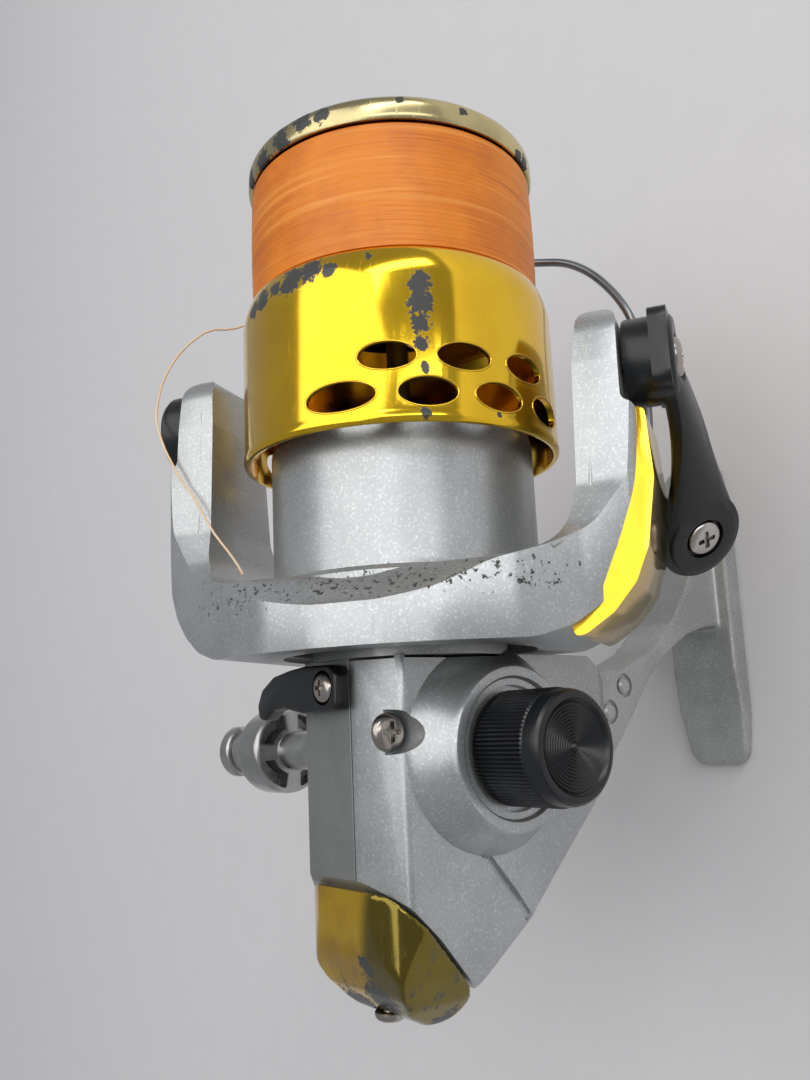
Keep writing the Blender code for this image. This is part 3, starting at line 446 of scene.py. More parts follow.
class Nodes:
    """A short hand for wiring one material's node tree."""

    def __init__(self, tree: bpy.types.NodeTree) -> None:
        """Keep the tree that the nodes go in."""
        self.tree = tree

    def add(self, kind: str, **inputs: object) -> bpy.types.Node:
        """Add a node and set its inputs.

        Args:
            kind: Blender's node type.
            inputs: Values or sockets, by input name with spaces as underscores.

        Returns:
            The node.
        """
        node = self.tree.nodes.new(kind)
        for key, value in inputs.items():
            socket = node.inputs[key.replace("_", " ")]
            if isinstance(value, bpy.types.NodeSocket):
                self.tree.links.new(value, socket)
            else:
                socket.default_value = value
        return node

    def calc(self, how: str, a: object, b: object = 0.0, clamp: bool = False) -> bpy.types.NodeSocket:
        """A Math node.

        Args:
            how: The operation.
            a: First value or socket.
            b: Second value or socket.
            clamp: Whether the result is kept from 0 to 1.

        Returns:
            Its output.
        """
        node = self.tree.nodes.new("ShaderNodeMath")
        node.operation = how
        node.use_clamp = clamp
        for i, value in enumerate((a, b)):
            if isinstance(value, bpy.types.NodeSocket):
                self.tree.links.new(value, node.inputs[i])
            else:
                node.inputs[i].default_value = value
        return node.outputs[0]

    def band(self, value: bpy.types.NodeSocket, low: float, high: float) -> bpy.types.NodeSocket:
        """A soft step from 0 at low to 1 at high.

        Args:
            value: The value to read.
            low: Where it is 0.
            high: Where it is 1.

        Returns:
            The stepped value.
        """
        node = self.tree.nodes.new("ShaderNodeMapRange")
        node.interpolation_type = "SMOOTHSTEP"
        self.tree.links.new(value, node.inputs["Value"])
        node.inputs["From Min"].default_value = low
        node.inputs["From Max"].default_value = high
        return node.outputs["Result"]

    def mix(self, mask: bpy.types.NodeSocket, a: object, b: object) -> bpy.types.NodeSocket:
        """Mix two colours by a mask.

        Args:
            mask: 0 gives a, 1 gives b.
            a: Colour or socket.
            b: Colour or socket.

        Returns:
            The mixed colour.
        """
        node = self.tree.nodes.new("ShaderNodeMix")
        node.data_type = "RGBA"
        self.tree.links.new(mask, node.inputs["Factor"])
        for index, value in ((6, a), (7, b)):
            if isinstance(value, bpy.types.NodeSocket):
                self.tree.links.new(value, node.inputs[index])
            else:
                node.inputs[index].default_value = (*value, 1.0)
        return node.outputs[2]


def surface_group() -> bpy.types.NodeTree:
    """The shared surface effect: fine grain, soft clouds, hair scratches and paint flakes.

    Returns:
        The node group, with one value per effect.
    """
    group = bpy.data.node_groups.new("surface_effects", "ShaderNodeTree")
    for name in ("Grain", "Clouds", "Scratches", "Flakes"):
        group.interface.new_socket(name=name, in_out="OUTPUT", socket_type="NodeSocketFloat")
    book = Nodes(group)
    place = book.add("ShaderNodeTexCoord").outputs["Object"]
    grain = book.add("ShaderNodeTexNoise", Vector=place, Scale=2600.0, Detail=2.0)
    clouds = book.add("ShaderNodeTexNoise", Vector=place, Scale=90.0, Detail=5.0, Roughness=0.6)
    long_way = book.add("ShaderNodeMapping", Vector=place, Scale=(260.0, 1900.0, 1500.0))
    hairs = book.add("ShaderNodeTexNoise", Vector=long_way.outputs[0], Scale=1.0, Detail=3.0)
    flakes = book.add("ShaderNodeTexNoise", Vector=place, Scale=1050.0, Detail=4.0, Roughness=0.7)
    out = group.nodes.new("NodeGroupOutput")
    for name, node in (("Grain", grain), ("Clouds", clouds), ("Scratches", hairs), ("Flakes", flakes)):
        group.links.new(node.outputs[0], out.inputs[name])
    return group


@dataclass(frozen=True)
class Finish:
    """One finish and how it is wired.

    Attributes:
        name: Name of the material.
        colour: Base colour.
        shade: Colour of the darker clouds.
        rough: Roughness.
        metal: Metallic.
        coat: Coat weight.
        bump: Height of the grain, in metres.
        spread: How far the roughness varies.
    """

    name: str
    colour: tuple[float, float, float]
    shade: tuple[float, float, float]
    rough: float = 0.4
    metal: float = 0.0
    coat: float = 0.0
    bump: float = 0.00002
    spread: float = 0.12

    def wear(self, book: Nodes, fx: bpy.types.Node, place: bpy.types.NodeSocket) -> bpy.types.NodeSocket | None:
        """Mask of worn places, or None where the finish is whole."""
        return None

    def tint(self, book: Nodes, fx: bpy.types.Node, place: bpy.types.NodeSocket) -> bpy.types.NodeSocket:
        """Colour before wear: the base colour clouded by its shade."""
        return book.mix(book.band(fx.outputs["Clouds"], 0.38, 0.66), self.shade, self.colour)

    def height(self, book: Nodes, fx: bpy.types.Node, place: bpy.types.NodeSocket) -> bpy.types.NodeSocket:
        """Height that drives the bump."""
        return fx.outputs["Grain"]

    def make(self, group: bpy.types.NodeTree) -> bpy.types.Material:
        """Wire the material.

        Args:
            group: The shared surface effect.

        Returns:
            The material.
        """
        mat = bpy.data.materials.new(self.name)
        mat.use_nodes = True
        book = Nodes(mat.node_tree)
        shader = mat.node_tree.nodes["Principled BSDF"]
        shader.inputs["Metallic"].default_value = self.metal
        shader.inputs["Coat Weight"].default_value = self.coat
        shader.inputs["Coat Roughness"].default_value = 0.08
        fx = mat.node_tree.nodes.new("ShaderNodeGroup")
        fx.node_tree = group
        place = book.add("ShaderNodeTexCoord").outputs["Object"]
        colour = self.tint(book, fx, place)
        rough = book.calc("ADD", book.calc("MULTIPLY", fx.outputs["Clouds"], self.spread),
                          self.rough - self.spread * 0.5, clamp=True)
        rough = book.calc("ADD", rough, book.calc("MULTIPLY", book.band(fx.outputs["Scratches"], 0.6, 0.75), 0.12))
        worn = self.wear(book, fx, place)
        if worn is not None:
            colour = book.mix(worn, colour, (0.035, 0.036, 0.034))
            rough = book.calc("ADD", rough, book.calc("MULTIPLY", worn, 0.35), clamp=True)
            metal = book.calc("MULTIPLY", book.calc("SUBTRACT", 1.0, worn), self.metal)
            mat.node_tree.links.new(metal, shader.inputs["Metallic"])
        mat.node_tree.links.new(colour, shader.inputs["Base Color"])
        mat.node_tree.links.new(rough, shader.inputs["Roughness"])
        bump = book.add("ShaderNodeBump", Height=self.height(book, fx, place), Strength=0.6)
        bump.inputs["Distance"].default_value = self.bump
        mat.node_tree.links.new(bump.outputs[0], shader.inputs["Normal"])
        return mat


@dataclass(frozen=True)
class SilverPaint(Finish):
    """Fine metallic silver paint, flecked black where its edges are knocked.

    Attributes:
        ridge: Whether the black flecks follow the rotor's ridge.
        belly: Whether the belly face is a darker grey.
    """

    ridge: bool = False
    belly: bool = False

    def tint(self, book: Nodes, fx: bpy.types.Node, place: bpy.types.NodeSocket) -> bpy.types.NodeSocket:
        """Clouded silver with metal flakes, darker on the belly if asked."""
        base = book.mix(book.band(fx.outputs["Clouds"], 0.38, 0.66), self.shade, self.colour)
        flake = book.calc("MULTIPLY", book.band(fx.outputs["Grain"], 0.5, 0.72), 0.35)
        base = book.mix(flake, base, (0.80, 0.81, 0.82))
        if self.belly:
            split = book.add("ShaderNodeSeparateXYZ", Vector=place)
            high = book.band(split.outputs["Z"], 0.0925, 0.0931)
            base = book.mix(book.calc("MULTIPLY", high, 0.75), base, (0.20, 0.205, 0.20))
        return base

    def wear(self, book: Nodes, fx: bpy.types.Node, place: bpy.types.NodeSocket) -> bpy.types.NodeSocket | None:
        """Black flecks, dense along the rotor's ridge and sparse elsewhere."""
        fleck = book.band(fx.outputs["Flakes"], 0.735, 0.75)
        if not self.ridge:
            return book.calc("MULTIPLY", fleck, 0.8)
        split = book.add("ShaderNodeSeparateXYZ", Vector=place)
        turn = math.radians(ARM_TURN)
        across = book.calc("ADD", book.calc("MULTIPLY", split.outputs["Y"], -math.sin(turn)),
                           book.calc("MULTIPLY", book.calc("SUBTRACT", split.outputs["Z"], AXIS_H * MM),
                                     math.cos(turn)))
        near = book.calc("MULTIPLY", book.band(book.calc("MULTIPLY", across, -1.0), 0.011, 0.019),
                         book.band(book.calc("ABSOLUTE", book.calc("ADD", split.outputs["X"], 0.0012)),
                                   0.0042, 0.0006))
        dense = book.band(book.calc("ADD", fx.outputs["Flakes"], book.calc("MULTIPLY", near, 0.10)), 0.665, 0.685)
        return book.calc("MAXIMUM", book.calc("MULTIPLY", dense, book.band(near, 0.05, 0.3)), fleck)


@dataclass(frozen=True)
class GoldPlate(Finish):
    """Mirror gold, worn through in patches.

    Attributes:
        spots: Worn patches as (x, y, z, reach) in metres.
        scuffs_and_flank_reflection: Whether long scuffs run over it, and whether its side towards -Y carries a painted
            dark olive reflection.
    """

    spots: tuple[tuple[float, float, float, float], ...] = ()
    scuffs_and_flank_reflection: bool = False

    def tint(self, book: Nodes, fx: bpy.types.Node, place: bpy.types.NodeSocket) -> bpy.types.NodeSocket:
        """Gold, with a painted dark olive reflection on its side where asked."""
        base = book.mix(book.band(fx.outputs["Clouds"], 0.38, 0.66), self.shade, self.colour)
        if not self.scuffs_and_flank_reflection:
            return base
        split = book.add("ShaderNodeSeparateXYZ", Vector=place)
        edge = book.calc("ADD", split.outputs["Y"], book.calc("MULTIPLY", split.outputs["X"], 0.25))
        # Painted reflection: the side towards -Y is tinted dark olive to stand for the dark reflection it shows.
        flank_reflection = book.calc("MULTIPLY", book.band(edge, -0.0145, -0.0175), 0.9)
        return book.mix(flank_reflection, base, (0.13, 0.11, 0.015))

    def wear(self, book: Nodes, fx: bpy.types.Node, place: bpy.types.NodeSocket) -> bpy.types.NodeSocket | None:
        """Torn patches about each spot, and scuffs where asked."""
        total: bpy.types.NodeSocket | None = None
        for x, y, z, reach in self.spots:
            gap = self.tree_distance(book, place, (x, y, z))
            torn = book.calc("ADD", book.calc("DIVIDE", gap, reach),
                             book.calc("MULTIPLY", book.calc("SUBTRACT", fx.outputs["Flakes"], 0.5), 2.2))
            mask = book.band(torn, 1.0, 0.85)
            total = mask if total is None else book.calc("MAXIMUM", total, mask)
        if self.scuffs_and_flank_reflection:
            stretch = book.add("ShaderNodeMapping", Vector=place, Scale=(170.0, 620.0, 620.0),
                               Rotation=(0.0, 0.5, 0.2))
            streak = book.add("ShaderNodeTexNoise", Vector=stretch.outputs[0], Scale=1.0, Detail=6.0,
                              Roughness=0.75)
            split = book.add("ShaderNodeSeparateXYZ", Vector=place)
            belly = book.band(split.outputs["X"], -0.044, -0.058)
            mask = book.calc("MULTIPLY", book.band(streak.outputs[0], 0.55, 0.60), belly)
            total = mask if total is None else book.calc("MAXIMUM", total, mask)
        return total

    @staticmethod
    def tree_distance(book: Nodes, place: bpy.types.NodeSocket,
                      spot: tuple[float, float, float]) -> bpy.types.NodeSocket:
        """Distance from a spot.

        Args:
            book: The material's nodes.
            place: Object coordinates.
            spot: The spot, in metres.

        Returns:
            The distance.
        """
        node = book.tree.nodes.new("ShaderNodeVectorMath")
        node.operation = "DISTANCE"
        book.tree.links.new(place, node.inputs[0])
        node.inputs[1].default_value = spot
        return node.outputs["Value"]


@dataclass(frozen=True)
class WoundLine(Finish):
    """Orange nylon laid in fine crossing turns."""

    def turns(self, book: Nodes, place: bpy.types.NodeSocket, lean: float, scale: float) -> bpy.types.NodeSocket:
        """One lay of turns.

        Args:
            book: The material's nodes.
            place: Object coordinates.
            lean: Lean of the turns, in radians.
            scale: Turns per metre.

        Returns:
            The wave's value.
        """
        lay = book.add("ShaderNodeMapping", Vector=place, Rotation=(0.0, 0.0, lean))
        wave = book.add("ShaderNodeTexWave", Vector=lay.outputs[0], Scale=scale, Distortion=1.6, Detail=2.0,
                        Detail_Scale=0.5)
        return wave.outputs["Fac"]

    def height(self, book: Nodes, fx: bpy.types.Node, place: bpy.types.NodeSocket) -> bpy.types.NodeSocket:
        """Height of two crossing lays."""
        one = self.turns(book, place, 0.06, 430.0)
        two = self.turns(book, place, -0.09, 300.0)
        return book.calc("MAXIMUM", one, book.calc("MULTIPLY", two, 0.85))

    def tint(self, book: Nodes, fx: bpy.types.Node, place: bpy.types.NodeSocket) -> bpy.types.NodeSocket:
        """Orange, with painted shade for darker channels and painted highlight for paler top turns, in noise bands
        along the spool.
        """
        base = book.mix(book.band(fx.outputs["Clouds"], 0.35, 0.65), self.shade, self.colour)
        # Painted light: noise bands along the spool axis, paled as a painted highlight on the top turns and darkened
        # as painted shade in the channels.
        stretch = book.add("ShaderNodeMapping", Vector=place, Scale=(900.0, 26.0, 26.0))
        light_and_shade_bands = book.add("ShaderNodeTexNoise", Vector=stretch.outputs[0], Scale=1.0, Detail=3.0)
        highlit_line = book.mix(book.band(light_and_shade_bands.outputs[0], 0.50, 0.80), base, (0.88, 0.33, 0.05))
        return book.mix(book.band(light_and_shade_bands.outputs[0], 0.40, 0.24), highlit_line, (0.50, 0.12, 0.006))


class Rack:
    """Every finish on the reel, made once."""

    def __init__(self) -> None:
        """Make the shared effect and the finishes."""
        group = surface_group()
        skirt = []
        for x, deg, reach in ((40.6, 30.5, 1.9), (37.6, 30.8, 2.1), (34.6, 31.0, 1.6), (31.6, 30.6, 1.2),
                              (28.0, 30.0, 0.8), (21.6, 30.6, 0.9), (44.3, 75.9, 2.6), (44.8, 68.0, 2.2),
                              (44.0, 60.5, 1.3), (44.2, 84.0, 1.6), (43.6, 92.0, 2.0), (43.0, 99.0, 1.7),
                              (45.4, 47.0, 1.0), (22.0, 5.0, 0.5)):
            t = math.radians(deg)
            skirt.append((x * MM, -25.0 * MM * math.cos(t), (AXIS_H + 25.0 * math.sin(t)) * MM, reach * MM))
        rim = []
        for x, deg, reach in ((69.6, 71.0, 1.9), (69.4, 63.0, 1.5), (68.6, 82.0, 2.0), (67.5, 95.0, 2.2),
                              (69.9, 34.0, 0.8), (67.2, -28.0, 1.6), (67.4, -22.0, 1.2), (69.4, 10.0, 0.7),
                              (68.0, 110.0, 1.8)):
            t = math.radians(deg)
            rim.append((x * MM, -23.7 * MM * math.cos(t), (AXIS_H + 23.7 * math.sin(t)) * MM, reach * MM))
        tail = ((-0.0565, -0.003, 0.0895, 0.0035), (-0.0585, 0.004, 0.0870, 0.0040),
                (-0.0600, 0.002, 0.0835, 0.0040), (-0.0555, 0.009, 0.0880, 0.0028),
                (-0.0520, -0.0035, 0.0925, 0.0018), (-0.0605, -0.004, 0.0815, 0.0030))
        self.silver = SilverPaint("silver_paint", (0.46, 0.475, 0.48), (0.40, 0.415, 0.42), 0.34, 0.72,
                                  0.15, 0.000012).make(group)
        self.rotor = SilverPaint("silver_paint_rotor", (0.46, 0.475, 0.48), (0.40, 0.415, 0.42), 0.33, 0.72,
                                 0.15, 0.000012, ridge=True).make(group)
        self.case = SilverPaint("silver_paint_case", (0.46, 0.47, 0.46), (0.38, 0.39, 0.38), 0.40, 0.62,
                                0.1, 0.000015, belly=True).make(group)
        self.gold = GoldPlate("gold_skirt", (0.95, 0.60, 0.02), (0.86, 0.52, 0.015), 0.13, 1.0, 0.4,
                              0.000004, 0.05, spots=tuple(skirt)).make(group)
        self.gold_tail = GoldPlate("gold_tail", (0.88, 0.55, 0.03), (0.62, 0.36, 0.03), 0.15, 1.0, 0.4,
                                   0.000006, 0.08, spots=tail, scuffs_and_flank_reflection=True).make(group)
        self.gold_arm = GoldPlate("gold_arm", (0.92, 0.58, 0.03), (0.80, 0.48, 0.02), 0.14, 1.0, 0.4,
                                  0.000006, 0.06).make(group)
        self.brass = GoldPlate("pale_gold_lip", (0.66, 0.55, 0.26), (0.50, 0.42, 0.22), 0.24, 1.0, 0.2,
                               0.000008, 0.1, spots=tuple(rim)).make(group)
        self.line = WoundLine("orange_line", (0.80, 0.235, 0.008), (0.66, 0.17, 0.006), 0.46, 0.0, 0.0,
                              0.00009).make(group)
        self.tail_line = Finish("pale_line", (0.86, 0.66, 0.46), (0.80, 0.58, 0.38), 0.35).make(group)
        self.black = Finish("black_plastic", (0.008, 0.009, 0.011), (0.005, 0.006, 0.007), 0.30, 0.0, 0.0,
                            0.00002).make(group)
        self.knob = Finish("dark_rubber", (0.035, 0.035, 0.037), (0.02, 0.02, 0.022), 0.6, 0.0, 0.0,
                           0.00004).make(group)
        self.chrome = Finish("screw_steel", (0.56, 0.53, 0.50), (0.38, 0.34, 0.31), 0.24, 1.0, 0.0,
                             0.00001).make(group)
        self.steel = Finish("plain_steel", (0.55, 0.55, 0.54), (0.44, 0.44, 0.43), 0.3, 1.0).make(group)
        self.wire = Finish("dark_wire", (0.24, 0.25, 0.26), (0.16, 0.17, 0.18), 0.32, 1.0).make(group)
        self.zinc = Finish("cast_zinc", (0.50, 0.50, 0.49), (0.38, 0.38, 0.37), 0.28, 0.95, 0.1).make(group)
        self.bronze = Finish("gear_bronze", (0.60, 0.42, 0.18), (0.46, 0.30, 0.12), 0.38, 1.0).make(group)
        self.felt = Finish("drag_felt", (0.26, 0.24, 0.21), (0.18, 0.16, 0.14), 0.95, 0.0, 0.0,
                           0.0001).make(group)
        self.floor = Finish("studio_floor", (0.70, 0.69, 0.70), (0.69, 0.68, 0.69), 0.9, 0.0, 0.0,
                            0.00001, 0.02).make(group)


@dataclass
class Screws:
    """The cross-headed screws."""

    rack: Rack
    sides: int = 36

    def one(self, name: str, way: Way, centre: tuple[float, float], head: float, run: int, radius: float,
            tall: float, shank: float, length: float, body: str, turn: Matrix | None = None,
            cross: bool = True) -> None:
        """Model one pan head screw.

        Args:
            name: The CAD node it stands for.
            way: Its axis.
            centre: Where the axis runs.
            head: Where the top of the head is.
            run: 1 or -1, the way the shank runs.
            radius: Head radius.
            tall: Head height.
            shank: Shank radius.
            length: Shank length.
            body: Body it rides on.
            turn: Extra turn, or None.
            cross: Whether it has a cross recess.
        """
        dome = [(head + run * tall * f, radius * g) for f, g in
                ((0.0, 0.0), (0.02, 0.45), (0.10, 0.68), (0.25, 0.85), (0.45, 0.955), (0.7, 1.0), (0.93, 1.0),
                 (1.0, 0.96))]
        profile = dome + [(head + run * tall, shank), (head + run * (tall + length), shank),
                          (head + run * (tall + length), 0.0)]
        obj = Bench.spun(name + "_visual", profile, way, centre, self.sides, turn)
        if cross:
            arm, half, deep = radius * 0.52, radius * 0.13, head + run * tall * 0.62
            low, high = sorted((head - run * 1.0, deep))
            for k, (u, v) in enumerate(((arm, half), (half, arm))):
                corners = [(centre[0] + a * u, centre[1] + b * v) for a, b in ((-1, -1), (1, -1), (1, 1), (-1, 1))]
                Bench.work(obj, Bench.plate("cross%d" % k, corners, way, low, high, turn), Op.CUT)
            Bench.ease(obj, 0.07, 2, 50.0)
        Bench.done(obj, self.rack.chrome, body, name)

    def build(self) -> None:
        """Model every screw."""
        self.one("tail_screw", Way.X, (0.0, 6.5), -61.1, 1, 2.3, 1.4, 1.0, 11.0, "housing")
        self.one("cover_screw_top", Way.Y, (-21.0, 12.0), -10.3, 1, 2.7, 1.5, 1.0, 10.0, "housing")
        self.one("cover_screw_low", Way.Y, (-26.5, -30.6), 8.7, -1, 2.3, 1.35, 1.0, 14.4, "housing")
        self.one("ar_lever_screw", Way.Z, (-14.4, -0.6), 17.6, -1, 2.2, 1.3, 0.9, 5.6, "housing")
        self.one("bail_pivot_screw", Way.Y, (PIVOT_X, 0.0), 44.9, -1, 3.1, 1.45, 1.4, 10.5, "bail", ROTOR_TURN)
        self.one("holder_pivot_screw", Way.Y, (PIVOT_X, 0.0), -43.4, 1, 3.0, 1.6, 1.4, 8.5, "bail", ROTOR_TURN)
        self.one("roller_screw", Way.Y, (0.0, 0.0), 0.5, -1, 2.9, 1.15, 1.15, 9.2, "bail", ROLLER_TURN)
        self.one("handle_arm_screw", Way.Y, (HANDLE_X, HANDLE_Z), ARM_Y + 3.6 + GAP + 1.6, -1, 3.0, 1.6, 1.3,
                 7.0, "crank")


@dataclass
class SpoolHead:
    """The spool with its vented skirt, lip, wound line and drag knob."""

    rack: Rack
    holes: int = 14
    skirt: float = 25.0
    rows: tuple[tuple[float, float, float, float, tuple[int, ...]], ...] = (
        (30.0, 2.1, 4.2, 0.5, (5, 6, 7)), (24.7, 2.2, 4.3, 0.0, (5, 6, 7, 8)))

    def vents(self) -> list[tuple[float, float, float, float]]:
        """Places of the vents.

        Returns:
            (forward, half length, half width, turn) of each, in two facing groups.
        """
        out = []
        for x, half_x, half_t, shift, group in self.rows:
            for i in group + tuple(k + self.holes // 2 for k in group):
                wide = shift == 0.0 and i % (self.holes // 2) == group[0]
                turn = 2 * math.pi / self.holes * (i + shift) - math.radians(6.7 if wide else 3.5)
                out.append((x, half_x, half_t + (1.05 if wide else 0.0), turn))
        return out

    def spool(self) -> None:
        """Model the spool, cut its holes and rim them."""
        r = self.skirt
        profile = [(69.5, 11.0), (69.5, 14.2), (69.3, 14.4), (68.2, 14.4), (68.2, 22.8), (66.9, 22.8), (66.9, 13.8),
                   (46.9, 13.8), (46.9, 23.2), (46.75, 23.6), (46.3, 23.95), (45.6, 24.25), (44.6, 24.6),
                   (43.5, 24.85), (42.2, r), (22.5, r), (22.0, r + 0.06), (21.4, r + 0.16), (20.9, r + 0.12),
                   (20.55, r - 0.1), (20.42, r - 0.45), (20.5, r - 0.85), (43.4, r - 0.9), (44.9, 22.6), (44.9, 12.4),
                   (54.5, 12.4), (54.5, 5.0), (46.0, 5.0), (46.0, 2.12), (56.0, 2.12), (56.0, 11.0)]
        obj = Bench.spun("spool_visual", profile, Way.X, (0.0, 0.0), 160)
        for x, half_x, half_t, at in self.vents():
            ring = [(x + half_x * math.cos(t), half_t * math.sin(t))
                    for t in (2 * math.pi * (k + 0.31) / 30 for k in range(30))]
            tool = Bench.plate("vent", ring, Way.Z, -r - 2.0, -r + 3.0, Matrix.Rotation(at + math.pi / 2, 4, "X"))
            Bench.work(obj, tool, Op.CUT)
        Bench.done(obj, self.rack.gold, "spool", "spool", angle=30.0)
        parts = []
        for x, half_x, half_t, at in self.vents():
            spin = Matrix.Rotation(at, 4, "X")
            route = []
            for k in range(32):
                t = 2 * math.pi * k / 32
                v = (half_t + 0.02) * math.sin(t)
                route.append(spin @ Vector((x + (half_x + 0.02) * math.cos(t), math.sqrt(r * r - v * v) - 0.06, v)))
            parts.append(Bench.tube("vent_rim", route, 0.17, closed=True, sides=2))
        Bench.clear()
        for part in parts:
            part.select_set(True)
        bpy.context.view_layer.objects.active = parts[0]
        bpy.ops.object.join()
        rims = bpy.context.object
        rims.name = "vent_rims"
        Bench.done(rims, self.rack.gold_arm, "spool", angle=60.0)

    def lip(self) -> None:
        """Model the front lip."""
        profile = [(70.4, 15.0), (70.75, 18.0), (71.1, 21.4), (71.15, 22.3), (70.95, 22.95), (70.5, 23.4),
                   (69.9, 23.68), (69.2, 23.75), (67.9, 23.75), (67.4, 23.68), (67.05, 23.5), (67.0, 23.12),
                   (68.52, 23.12), (68.52, 15.0)]
        Bench.done(Bench.spun("spool_lip_visual", profile, Way.X, (0.0, 0.0), 144), self.rack.brass, "spool",
                   "spool_lip")

    def line(self) -> None:
        """Model the wound line with a shallow ripple for each lay of turns."""
        outer: Outline = []
        count = 60
        for k in range(count + 1):
            t = k / count
            along = 66.58 - 19.36 * t
            swell = 23.2 + 0.16 * math.sin(math.pi * t) - 0.10 * (1 - t) ** 3
            ripple = 0.045 if k % 2 else -0.035
            outer.append((along, swell + ripple + 0.03 * math.sin(k * 1.9)))
        profile = [(66.58, 14.12)] + outer + [(47.22, 14.12)]
        Bench.done(Bench.spun("line_winding_visual", profile, Way.X, (0.0, 0.0), 144), self.rack.line, "spool",
                   "line_winding", angle=60.0)

    def drag(self) -> None:
        """Model the drag knob with finger flutes."""
        profile = [(76.4, 0.0), (76.4, 2.6), (76.2, 4.6), (75.7, 6.4), (74.9, 8.0), (74.0, 9.1), (73.0, 9.6),
                   (67.6, 9.6), (67.1, 9.45), (66.6, 9.0), (64.0, 9.0), (64.0, 6.4), (72.4, 6.4), (72.4, 3.9),
                   (74.2, 3.9), (74.2, 0.0)]
        obj = Bench.spun("drag_knob_visual", profile, Way.X, (0.0, 0.0), 96)
        for i in range(12):
            t = 2 * math.pi * (i + 0.5) / 12
            Bench.work(obj, Bench.rod("flute", Way.X, (10.2 * math.cos(t), 10.2 * math.sin(t)), 1.5, 66.0, 80.0,
                                      steps=24), Op.CUT)
        Bench.ease(obj, 0.3, 3, 40.0)
        Bench.done(obj, self.rack.black, "drag", "drag_knob")

    def build(self) -> None:
        """Model the whole head."""
        self.spool()
        self.lip()
        self.line()
        self.drag()


